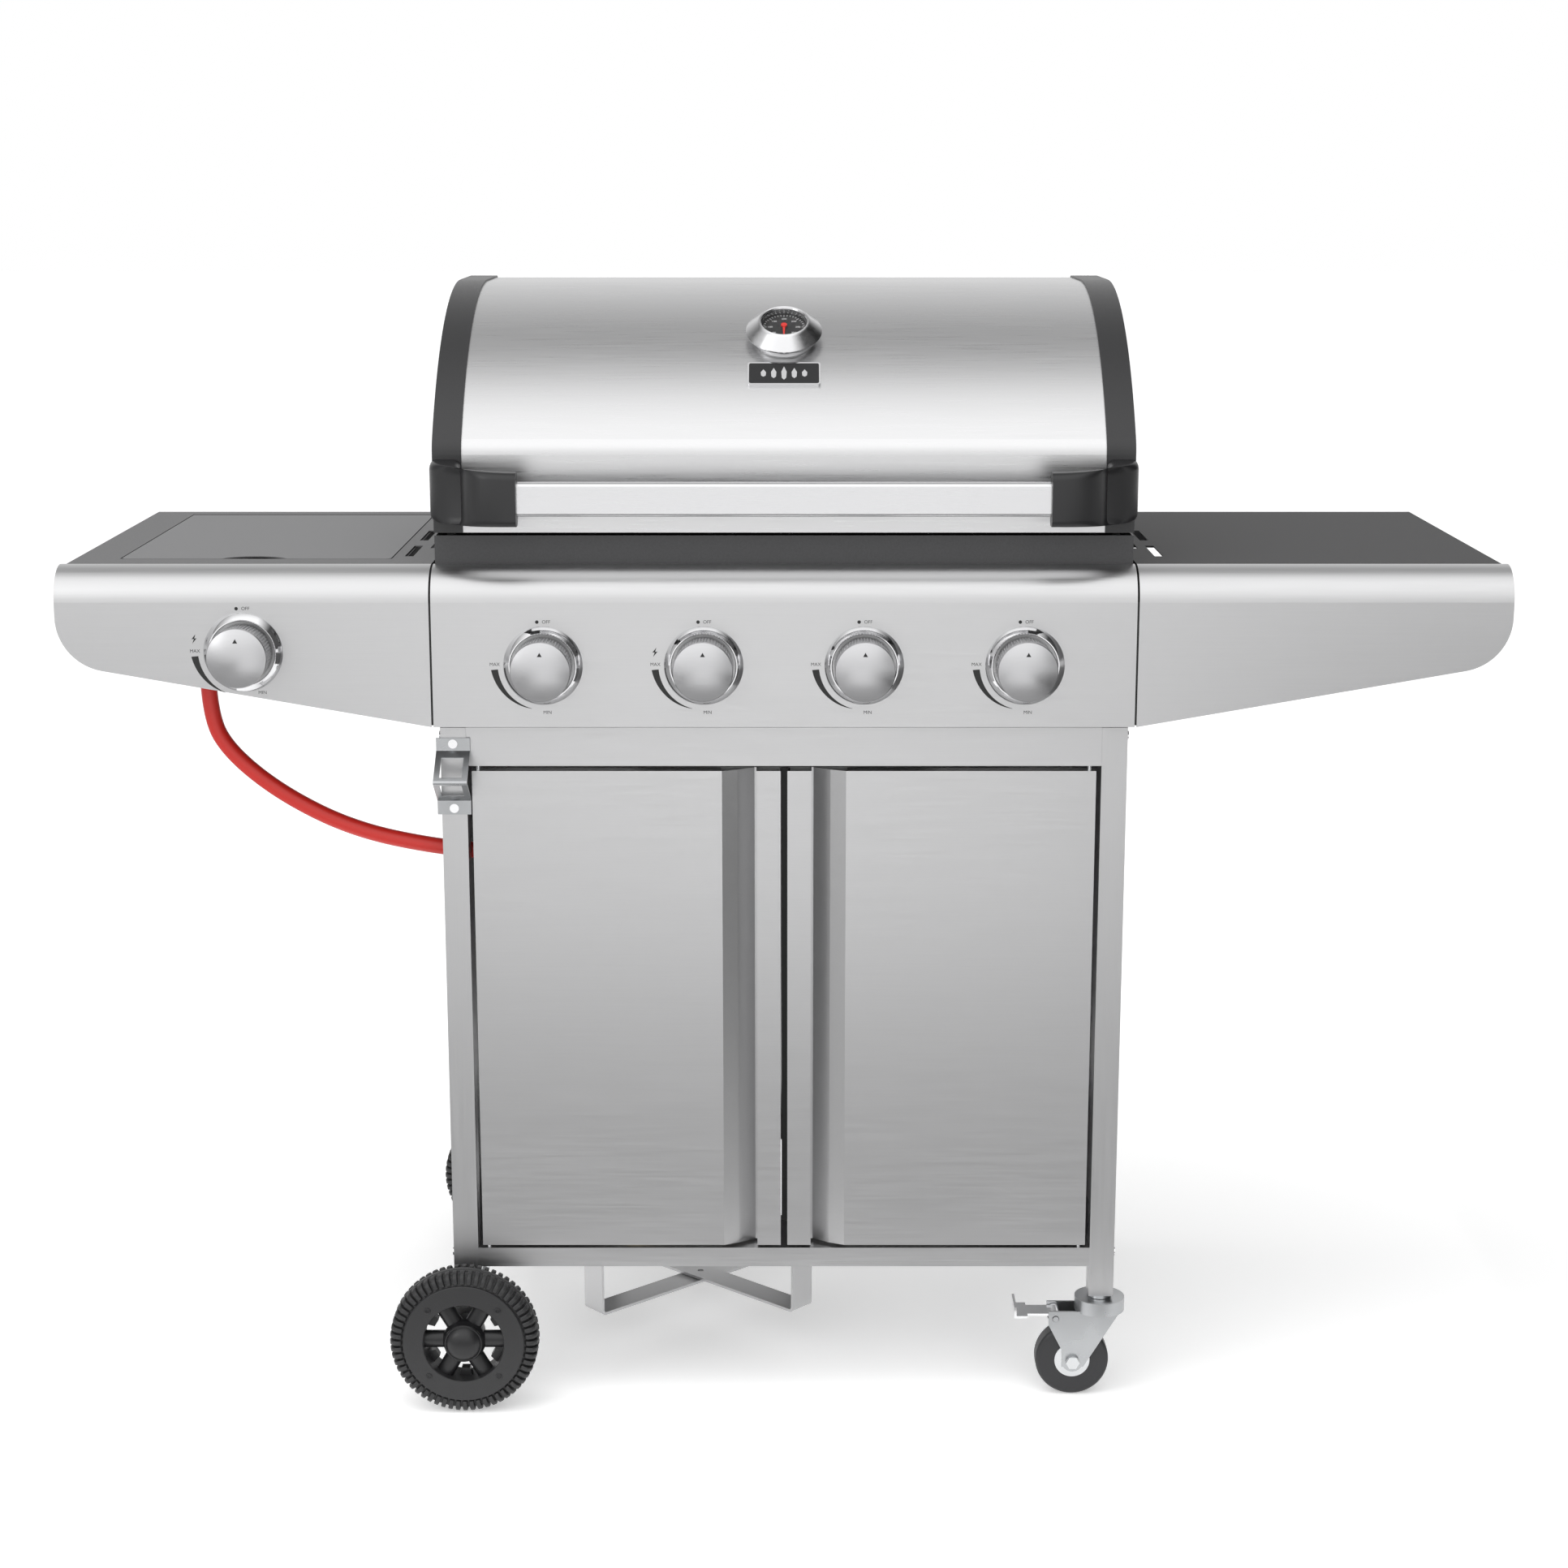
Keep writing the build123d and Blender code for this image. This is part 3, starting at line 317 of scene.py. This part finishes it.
def math_node(tree, operation, first, second=None):
    """A maths node fed by sockets or numbers; returns its output."""
    node = tree.nodes.new("ShaderNodeMath")
    node.operation = operation
    for socket, value in zip(node.inputs, (first, second)):
        if isinstance(value, (int, float)):
            socket.default_value = value
        elif value is not None:
            tree.links.new(value, socket)
    return node.outputs[0]


SKY_STOPS = ((-90, 0.45), (0, 0.70), (20, 0.90), (34, 1.0), (66, 1.0), (84, 0.82), (98, 0.42))
SKY_STOPS += ((112, 0.24), (145, 0.52), (180, 0.62))
SKY_STRENGTH = 1.55


def add_sky():
    """A white backdrop; for light, a room that is bright in front and darker at its sides."""
    world = bpy.data.worlds.new("studio")
    world.use_nodes = True
    tree = world.node_tree
    coords = tree.nodes.new("ShaderNodeTexCoord")
    parts = tree.nodes.new("ShaderNodeSeparateXYZ")
    tree.links.new(coords.outputs["Generated"], parts.inputs[0])
    front = math_node(tree, "MULTIPLY", parts.outputs["Y"], -1.0)
    angle = math_node(tree, "ARCTAN2", parts.outputs["Z"], front)
    place = math_node(tree, "MULTIPLY_ADD", angle, 1 / (2 * math.pi))
    place.node.inputs[2].default_value = 0.5
    ramp = tree.nodes.new("ShaderNodeValToRGB")
    stops = ramp.color_ramp.elements
    while len(stops) < len(SKY_STOPS):
        stops.new(0.5)
    for stop, (degrees, level) in zip(stops, SKY_STOPS):
        stop.position = 0.5 + degrees / 360
        stop.color = (level, level, level, 1)
    tree.links.new(place, ramp.inputs["Fac"])
    level = ramp.outputs["Color"]
    for start, end, darkest in ((0.35, 0.75, 0.06), (-0.45, -0.9, 0.40)):
        side = tree.nodes.new("ShaderNodeMapRange")
        side.inputs["From Min"].default_value = start
        side.inputs["From Max"].default_value = end
        side.inputs["To Min"].default_value = 1.0
        side.inputs["To Max"].default_value = darkest
        tree.links.new(parts.outputs["X"], side.inputs["Value"])
        level = math_node(tree, "MULTIPLY", level, side.outputs["Result"])
    rays = tree.nodes.new("ShaderNodeLightPath")
    mix = tree.nodes.new("ShaderNodeMix")
    mix.data_type = "FLOAT"
    mix.inputs[3].default_value = 1.0
    tree.links.new(rays.outputs["Is Camera Ray"], mix.inputs[0])
    tree.links.new(math_node(tree, "MULTIPLY", level, SKY_STRENGTH), mix.inputs[2])
    tree.links.new(mix.outputs[0], tree.nodes["Background"].inputs["Color"])
    tree.nodes["Background"].inputs["Strength"].default_value = 1.0
    bpy.context.scene.world = world


def add_flag(name, x, y, level):
    """A grey card laid on the floor that only reflections see, to shade the steel."""
    maker = bmesh.new()
    corners = ((x[0], y[0]), (x[1], y[0]), (x[1], y[1]), (x[0], y[1]))
    maker.faces.new([maker.verts.new((across, away, 0.001)) for across, away in corners])
    mat, _, shader = new_material(name, (0.0, 0.0, 0.0), 0.0, 1.0)
    shader.inputs["Emission Color"].default_value = (1, 1, 1, 1)
    shader.inputs["Emission Strength"].default_value = level
    flag = finish_mesh(name, maker, mat)
    flag.visible_camera = False
    flag.visible_diffuse = False
    flag.visible_shadow = False
    flag.visible_transmission = False


def add_studio():
    """A white floor, a room to reflect, a large top light and softer sides."""
    maker = bmesh.new()
    half = FLOOR_SIZE / 2
    corners = ((-half, -half), (half, -half), (half, half), (-half, half))
    maker.faces.new([maker.verts.new((x, y, -FLOOR_DROP)) for x, y in corners])
    floor_mat, _, shader = new_material("floor_white", (0.90, 0.90, 0.90), 0.0, 0.7)
    shader.inputs["Emission Color"].default_value = (1, 1, 1, 1)
    shader.inputs["Emission Strength"].default_value = 0.36
    floor = finish_mesh("floor", maker, floor_mat)
    add_flag("front_flag", (-0.8, 0.8), (PANEL_Y - 1.5, PANEL_Y - 0.2), 0.42)
    add_flag("right_flag", (0.81, 5.0), (-4.0, 1.5), 0.08)
    add_flag("left_flag", (-5.0, -0.81), (-4.0, 1.5), 0.45)
    add_sky()
    top = area_light("top_light", (-0.9, -0.5, 3.4), (0.1, 0, 0.5), (2.4, 1.6), 38)
    top.visible_glossy = False
    area_light("left_light", (-2.6, -2.4, 1.9), (0, 0, 0.7), (1.2, 1.8), 12)
    bpy.context.scene.view_settings.view_transform = "Standard"


# ---------------------------------------------------------------- gas hose
HOSE_DIAMETER = 0.016
HOSE_Y = PANEL_Y + 0.068
HOSE_ROUTE = [
    (-0.569, HOSE_Y, 0.750),
    (-0.569, HOSE_Y, 0.704),
    (-0.551, HOSE_Y, 0.667),
    (-0.500, HOSE_Y, 0.624),
    (-0.430, HOSE_Y, 0.588),
    (-0.348, HOSE_Y, 0.570),
    (-0.270, HOSE_Y + 0.001, 0.563),
    (-0.205, HOSE_Y + 0.003, 0.545),
    (-0.165, HOSE_Y + 0.005, 0.495),
    (-0.152, HOSE_Y + 0.008, 0.425),
    (-0.156, HOSE_Y + 0.012, 0.350),
    (-0.152, HOSE_Y + 0.014, 0.290),
    (-0.152, HOSE_Y + 0.015, 0.250),
]


def add_hose():
    """The red hose as one smooth curve along its route."""
    curve = bpy.data.curves.new("hose", "CURVE")
    curve.dimensions = "3D"
    curve.bevel_depth = HOSE_DIAMETER / 2
    curve.bevel_resolution = 8
    curve.use_fill_caps = True
    curve.resolution_u = 24
    spline = curve.splines.new("NURBS")
    spline.points.add(len(HOSE_ROUTE) - 1)
    for point, place in zip(spline.points, HOSE_ROUTE):
        point.co = (*place, 1)
    spline.order_u = 3
    spline.use_endpoint_u = True
    hose = bpy.data.objects.new("hose", curve)
    bpy.context.scene.collection.objects.link(hose)
    curve.materials.append(HOSE_RED)
    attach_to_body(hose, "cart")
    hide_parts("gas_hose")


def attach(piece, body, slot, *nodes):
    """Let a piece ride on a body and stand for CAD nodes; the slot argument is not used."""
    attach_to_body(piece, body)
    if nodes:
        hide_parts(*nodes)
    return piece


def middle(node):
    """The centre of a CAD node's box."""
    low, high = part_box(node)
    return (Vector(low) + Vector(high)) / 2


# ---------------------------------------------------------------- wheels
TYRE_PROFILE = [(40.7, -15), (60, -15.5), (61.4, -14.5), (66, -13), (71, -11), (72.6, -7), (72.6, -3)]
TYRE_PROFILE += [(74.8, -2), (74.8, 2), (72.6, 3), (72.6, 7), (71, 11), (66, 13), (61.4, 14.5)]
TYRE_PROFILE += [(60, 15.5), (40.7, 15)]
LUG_OUTLINE = [(61.9, 13), (63, 16.4), (66, 17.2), (71, 16), (74.2, 12.5), (75, 8), (75, 5), (71.5, 5)]
LUG_COUNT = 60
LUG_HALF = 2.3
WHEEL_CAP = 7.5  # how far a CAD wheel's cap stands out of its tyre
WHEEL_HALF = 17.8  # half the width of a CAD tyre
SPOKE_COUNT = 6


def wheel_base(node, outward):
    """The matrix at a wheel's centre that faces away from the cart."""
    low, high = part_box(node)
    face_y = low[1] if outward < 0 else high[1]
    y = face_y - outward * (WHEEL_CAP + WHEEL_HALF) * MM
    centre = ((low[0] + high[0]) / 2, y, (low[2] + high[2]) / 2)
    return facing(centre, (0, outward, 0))


def add_wheel(node, body, outward):
    """A moulded wheel: ribbed tyre, flat face ring, barrel spokes and a domed cap."""
    base = wheel_base(node, outward)
    tyre = lathe("tyre_" + body, TYRE_PROFILE, base, TYRE, 120)
    attach(tyre, body, "black_tyre", node)
    maker = bmesh.new()
    for i in range(LUG_COUNT):
        turn = Matrix.Rotation(2 * math.pi * i / LUG_COUNT, 4, "Z")
        for side in (1, -1):
            across = Matrix(((1, 0, 0, 0), (0, 0, 1, 0), (0, side, 0, 0), (0, 0, 0, 1)))
            prism(maker, LUG_OUTLINE, base @ turn @ across, -LUG_HALF, LUG_HALF)
    lugs = finish_mesh("tread_" + body, maker, TYRE, 50)
    bevel = lugs.modifiers.new("soft", "BEVEL")
    bevel.width = 0.9 * MM
    bevel.segments = 2
    attach(lugs, body, "black_tyre")
    ring = [(40.7, 12), (40.7, 16.6), (41.5, 17.4), (60.6, 17.4), (61.4, 16.6), (61.4, 12)]
    attach(lathe("face_ring_" + body, ring, base, TYRE), body, "black_tyre")
    back = [(r, -z) for r, z in ring][::-1]
    attach(lathe("back_ring_" + body, back, base, TYRE), body, "black_tyre")
    hub = [(6.3, -17.4), (19, -17.4), (22, 8), (21, 11), (19.6, 13), (19.6, 16.5), (18.8, 17.6), (17.8, 17.6)]
    hub += [(17.2, 18.6), (15, 21.6), (11, 23.8), (6, 24.9), (0, 25.2), (0, 10), (6.3, 9)]
    attach(lathe("hub_" + body, hub, base, BLACK), body, "black_tyre")
    maker = bmesh.new()
    barrel = [(x, y * 0.78) for x, y in ring_points(9, 24)[:-1]]
    for i in range(SPOKE_COUNT):
        spin = Matrix.Rotation(2 * math.pi * i / SPOKE_COUNT, 4, "Z")
        out = spin @ Matrix.Rotation(math.pi / 2, 4, "Y")
        lift = Matrix.Translation((0, 0, 3 * MM))
        swap = Matrix.Rotation(math.pi / 2, 4, "Z")
        prism(maker, barrel, base @ lift @ out @ swap, 19, 42)
    attach(finish_mesh("spokes_" + body, maker, BLACK), body, "black_tyre")
    for i in range(4):
        turn = math.radians(45 + 90 * i)
        place = base @ Matrix.Translation((50 * MM * math.cos(turn), 50 * MM * math.sin(turn), 0))
        stud = [(0, 17), (3.3, 17), (3.3, 18), (2.7, 18.3), (1.6, 18.3), (1.2, 17.8), (0, 17.8)]
        attach(lathe("stud_%d_%s" % (i, body), stud, place, BLACK, 24), body, "black_tyre")


# ---------------------------------------------------------------- knobs and their markings
DOME_RIM = 28.2
DOME_HIGH = 5.0
KNOB_DEEP = 42.0
FLUTE = 0.9  # depth of the grooves in a knob's side


def dome_height(radius):
    """Height of the knob's domed front at a radius, ahead of the panel."""
    return KNOB_DEEP - DOME_HIGH * (radius / DOME_RIM) ** 2


def add_knob(name):
    """A knob with a grooved side, a bright rim and a domed brushed front."""
    body = "dial_" + name
    node = "knob_" + name
    centre = middle(node)
    base = facing((centre.x, PANEL_Y, centre.z), (0, -1, 0))
    profile = [(0, 8), (27.2, 8), (28.6, 8.6, FLUTE), (28.6, 20, FLUTE), (28.6, 34.4, FLUTE)]
    profile += [(28.9, 34.8), (28.9, 36.0)]
    profile += [(DOME_RIM * k / 8, dome_height(DOME_RIM * k / 8)) for k in range(8, -1, -1)]
    knob = lathe("knob_" + name + "_turned", profile, base, KNOB_FACE, 240, 30)
    attach(knob, body, "knob_metal", node)
    maker = bmesh.new()
    arrow = [(-2.3, 15.3), (2.3, 15.3), (0, 19.2)]
    prism(maker, arrow, base, dome_height(20), dome_height(15) + 0.15)
    attach(finish_mesh("knob_arrow_" + name, maker, INK), body, "black_plastic")


def add_bezel(name):
    """The polished collar round a knob: a broad cone with a rolled inner lip."""
    centre = middle("knob_" + name)
    base = facing((centre.x, PANEL_Y, centre.z), (0, -1, 0))
    profile = [(38.2, 0), (38.2, 1.2), (37.7, 2.0), (33.4, 6.2), (32.6, 7), (31.6, 7), (31.0, 6.2), (31.0, 0)]
    return lathe("bezel_" + name, profile, base, CHROME, 128, 25)


SCALE_INNER = 43.6
SCALE_WIDE = 6.6
WORD_SIZE = 4.6
PRINT_HIGH = 0.08


def add_markings(name, with_spark, sweep_degrees, low_word):
    """Printed marks: off dot, tapering flame scale from MAX to MIN, spark sign."""
    centre = middle("knob_" + name)
    base = facing((centre.x, PANEL_Y, centre.z), (0, -1, 0))
    maker = bmesh.new()
    prism(maker, [(x - 5.2, y + 42.3) for x, y in ring_disc(1.7, 20)], base, 0, PRINT_HIGH)
    steps = 24
    start, sweep = math.radians(185), math.radians(sweep_degrees)
    outer, inner = [], []
    for i in range(steps + 1):
        turn = start + sweep * i / steps
        reach = SCALE_INNER + SCALE_WIDE * (1 - i / steps) + 0.2
        outer.append((reach * math.cos(turn), reach * math.sin(turn)))
        inner.append((SCALE_INNER * math.cos(turn), SCALE_INNER * math.sin(turn)))
    prism(maker, outer + inner[::-1], base, 0, PRINT_HIGH)
    if with_spark:
        spark = [(-45.4, 17.5), (-49.4, 12.6), (-47.1, 12.9), (-48.6, 8.4), (-44.4, 13.6), (-46.6, 13.4)]
        prism(maker, spark, base, 0, PRINT_HIGH)
    attach(finish_mesh("marks_" + name, maker, INK), "cart", "black_plastic")
    for word, x, y in (("OFF", 3.6, 42.3), ("MAX", -46.6, 1.0), ("MIN", *low_word)):
        place = base @ Matrix.Translation((x * MM, y * MM, 0.04 * MM))
        add_word(word + "_" + name, word, place, WORD_SIZE, INK, "cart")


def ring_disc(radius, steps):
    """The corners of a regular polygon that stands for a circle."""
    return ring_points(radius, steps)[:-1]


def add_word(name, word, place, size, mat, body):
    """A short printed word, centred at a place."""
    data = bpy.data.curves.new(name, "FONT")
    data.body = word
    data.size = size * MM
    data.extrude = 0.03 * MM
    data.align_x = "CENTER"
    data.align_y = "CENTER"
    data.materials.append(mat)
    text = bpy.data.objects.new(name, data)
    bpy.context.scene.collection.objects.link(text)
    text.matrix_world = place
    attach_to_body(text, body)


# ---------------------------------------------------------------- hood furniture
ARC_Y = PANEL_Y + 0.3035
ARC_Z = 0.783
ARC_R = 0.335


def on_arc(angle):
    """A matrix on the hood's arc at an angle above the horizontal, z pointing out."""
    lean = Vector((0, -math.cos(math.radians(angle)), math.sin(math.radians(angle))))
    return facing(Vector((0, ARC_Y, ARC_Z)) + lean * ARC_R, lean)


def add_thermometer():
    """A lid thermometer: waisted case, conical bezel, black dial with ticks and numbers."""
    base = on_arc(58.7)
    case = [(30, -1.6), (31.5, 1), (31.5, 6.6), (33, 7.4), (36.6, 8.2), (37.4, 9.2), (37.4, 10.2)]
    case += [(36.6, 11.2), (26.4, 20.2), (25.2, 21.6), (24.2, 22), (23.0, 21.6), (22.2, 20.4)]
    case += [(22.2, 12.6), (6, 12.6), (6, -1.6)]
    attach(lathe("thermometer_bezel", case, base, BEZEL_STEEL, 128, 30), "hood", "chrome", "thermometer_case")
    face = [(0, 12.7), (22.0, 12.7), (22.0, 13.4), (0, 13.4)]
    attach(lathe("thermometer_dial", face, base, DIAL_BLACK, 96), "hood", "black_plastic")
    probe = [(0, -40), (4, -39), (4, -1), (0, -1)]
    attach(lathe("thermometer_probe", probe, base, ZINC, 32), "hood", "chrome")
    maker = bmesh.new()
    for i in range(31):
        turn = math.radians(225 - 270 * i / 30)
        long = 3.4 if i % 5 == 0 else 2.0
        tick = [(-0.22, 20.6 - long), (0.22, 20.6 - long), (0.22, 20.6), (-0.22, 20.6)]
        prism(maker, tick, base @ Matrix.Rotation(turn - math.pi / 2, 4, "Z"), 13.4, 13.5)
    attach(finish_mesh("thermometer_ticks", maker, WHITE_INK), "hood", "black_plastic")
    for i in range(7):
        turn = math.radians(225 - 45 * i)
        place = Matrix.Translation((13.6 * MM * math.cos(turn), 13.6 * MM * math.sin(turn), 13.5 * MM))
        add_word("dial_number_%d" % i, str(50 + 50 * i), base @ place, 3.4, WHITE_INK, "hood")


def add_badge():
    """A plain badge: dark plate in a bright frame, with a generic row of flame shapes."""
    base = on_arc(49.3)
    maker = bmesh.new()
    prism(maker, rounded_box(71, 30, 3), base, -0.9, 3.0)
    plate = finish_mesh("badge_frame", maker, CHROME, 30)
    attach(plate, "hood", "chrome", "hood_badge")
    maker = bmesh.new()
    prism(maker, rounded_box(68, 27, 2), base, 2.9, 3.05)
    attach(finish_mesh("badge_field", maker, DIAL_BLACK), "hood", "badge")
    maker = bmesh.new()
    for x, high in ((-20, 5), (-10, 7), (0, 9), (10, 7), (20, 5)):
        left = [(x - 2.6, high * 0.2), (x - 2.2, -high * 0.7)]
        right = [(x + 2.2, -high * 0.7), (x + 2.6, high * 0.2)]
        flame = [(x, high), *left, (x, -high), *right]
        prism(maker, flame, base, 3.0, 3.25)
    attach(finish_mesh("badge_flames", maker, CHROME), "hood", "chrome")


def rounded_box(width, height, radius):
    """A rounded rectangle's outline, centred, anticlockwise."""
    points = []
    for cx, cy, start in ((1, -1, 270), (1, 1, 0), (-1, 1, 90), (-1, -1, 180)):
        for i in range(7):
            turn = math.radians(start + 15 * i)
            x = cx * (width / 2 - radius) + radius * math.cos(turn)
            y = cy * (height / 2 - radius) + radius * math.sin(turn)
            points.append((x, y))
    return points


ELBOW_END_X = 252  # where an elbow meets the bar
ELBOW_BACK_Y = 25.8  # where it meets the hood's cap, behind the panel face
ELBOW_REACH = (73, 50.3)  # from the bar to the cap, across and back
ELBOW_SQUARE = 0.75  # below 1 the bend is squarer than an ellipse
ELBOW_FOOT = 903
ELBOW_TOP = 961.5


def add_brackets():
    """The two moulded elbows that carry the handle bar, swept from hood cap to bar."""
    steps = 18
    for side, name in ((-1, "left"), (1, "right")):
        maker = bmesh.new()
        rings = []
        for i in range(steps + 1):
            mix = i / steps
            turn = math.pi / 2 * mix
            x = ELBOW_END_X + ELBOW_REACH[0] * math.cos(turn) ** ELBOW_SQUARE
            y = ELBOW_BACK_Y - ELBOW_REACH[1] * math.sin(turn) ** ELBOW_SQUARE
            wide = 31 - 7 * mix
            low = ELBOW_FOOT + 0.5 * mix
            high = ELBOW_TOP - 7 * mix**0.7
            across = Vector((math.cos(turn), math.sin(turn), 0))
            ring = []
            for px, pz in rounded_box(wide, high - low, 7):
                bulge = 1 - 0.10 * abs(pz) / ((high - low) / 2) * (1 if px > 0 else 0)
                point = (Vector((x, y, (low + high) / 2 + pz)) + across * px * bulge) * MM
                ring.append(maker.verts.new((side * point.x, PANEL_Y + point.y, point.z)))
            rings.append(ring)
        count = len(rings[0])
        for a, b in zip(rings, rings[1:]):
            for i in range(count):
                j = (i + 1) % count
                maker.faces.new((a[i], a[j], b[j], b[i]))
        maker.faces.new(rings[0])
        maker.faces.new(rings[-1][::-1])
        piece = finish_mesh("handle_elbow_" + name, maker, BLACK, 40)
        attach(piece, "hood", "black_plastic")
        if side < 0:
            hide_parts("handle_brackets")


# ---------------------------------------------------------------- doors and castors
def add_door_strip():
    """A black sealing strip on the right door that fills the gap between the doors."""
    low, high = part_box("door_right")
    maker = bmesh.new()
    base = Matrix.Identity(4)
    y = low[1] / MM + 15
    outline = [(-2.4, y), (6, y), (6, y + 2), (-2.4, y + 2)]
    prism(maker, outline, base, low[2] / MM + 21, high[2] / MM)
    attach(finish_mesh("door_seal", maker, INK), "right_door", "black_plastic")


def add_castor_hubs(end):
    """Bright hub plates in both sides of a castor wheel, with a moulded step."""
    node = "caster_wheel_" + end
    centre = middle(node)
    for side in (-1, 1):
        base = facing(centre, (0, side, 0))
        plate = [(4.3, 10), (18, 10), (18, 11.2), (17, 11.4), (12, 11.2), (11, 11.6), (4.3, 11.6)]
        piece = lathe("castor_hub_%s_%s" % (end, "back" if side > 0 else "front"), plate, base, ZINC, 64)
        attach(piece, "roller_" + end, "chrome")


CHEEK_OUT = 15.5  # from the castor's middle to just past its fork's outside


def add_castor_nuts(end):
    """A hexagon nut over the swivel cup and hexagon heads on the axle bolt."""
    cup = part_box("caster_fork_" + end)
    stem = middle("caster_stems")
    y = (cup[0][1] + cup[1][1]) / 2
    wheel = middle("caster_wheel_" + end)
    maker = bmesh.new()
    for side in (-1, 1):
        base = facing((wheel.x, y, wheel.z), (0, side, 0))
        prism(maker, ring_disc(7.0, 6), base, CHEEK_OUT - 1.0, CHEEK_OUT + 4.4)
    attach(finish_mesh("castor_bolt_" + end, maker, ZINC), "fork_" + end, "chrome")
    maker = bmesh.new()
    base = facing((stem.x, y, cup[1][2]), (0, 0, 1))
    prism(maker, ring_disc(11.5, 6), base, 0.6, 8.6)
    nut = finish_mesh("castor_nut_" + end, maker, CHROME)
    attach(nut, "cart", "chrome")


SEAM_X = (338.2, 342)
SEAM_Z = (707, 827)


def add_seams():
    """Black sealing strips behind the joints between the control panel and the shelves."""
    maker = bmesh.new()
    base = Matrix.Identity(4)
    y = PANEL_Y / MM
    for side in (-1, 1):
        near, far = side * SEAM_X[0], side * SEAM_X[1]
        outline = [(near, y + 1.6), (far, y + 1.6), (far, y + 3), (near, y + 3)]
        prism(maker, outline, base, *SEAM_Z)
    attach(finish_mesh("seam_strips", maker, INK), "cart", "black_plastic")


def add_window_tabs(node, body, outward):
    """Small moulded tabs inside the wheel's windows."""
    base = wheel_base(node, outward)
    maker = bmesh.new()
    tab = [(41, -6.5), (41, 6.5), (32.5, 4.2), (32.5, -4.2)][::-1]
    for i in range(SPOKE_COUNT):
        turn = Matrix.Rotation(math.pi * (2 * i + 1) / SPOKE_COUNT, 4, "Z")
        prism(maker, tab, base @ turn, -8, 2)
    attach(finish_mesh("window_tabs_" + body, maker, BLACK), body, "black_tyre")


# ---------------------------------------------------------------- build
KNOBS = ("1", "2", "3", "4", "side")
WHEELS = (("wheel_front", "front_wheel", -1), ("wheel_rear", "rear_wheel", 1))
dress_nodes()
add_camera()
add_studio()
add_hose()
for node, body, outward in WHEELS:
    add_wheel(node, body, outward)
bezels = [add_bezel(name) for name in KNOBS]
for bezel in bezels:
    attach(bezel, "cart", "chrome")
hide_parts("knob_bezels")
for name in KNOBS:
    add_knob(name)
for name in KNOBS[:4]:
    add_markings(name, name == "2", 70, (3.5, -46.0))
add_markings("side", True, 60, (17.0, -39.5))
add_thermometer()
add_badge()
add_brackets()
add_door_strip()
for end in ("front", "rear"):
    add_castor_hubs(end)
for end in ("front", "rear"):
    add_castor_nuts(end)
add_seams()
for node, body, outward in WHEELS:
    add_window_tabs(node, body, outward)
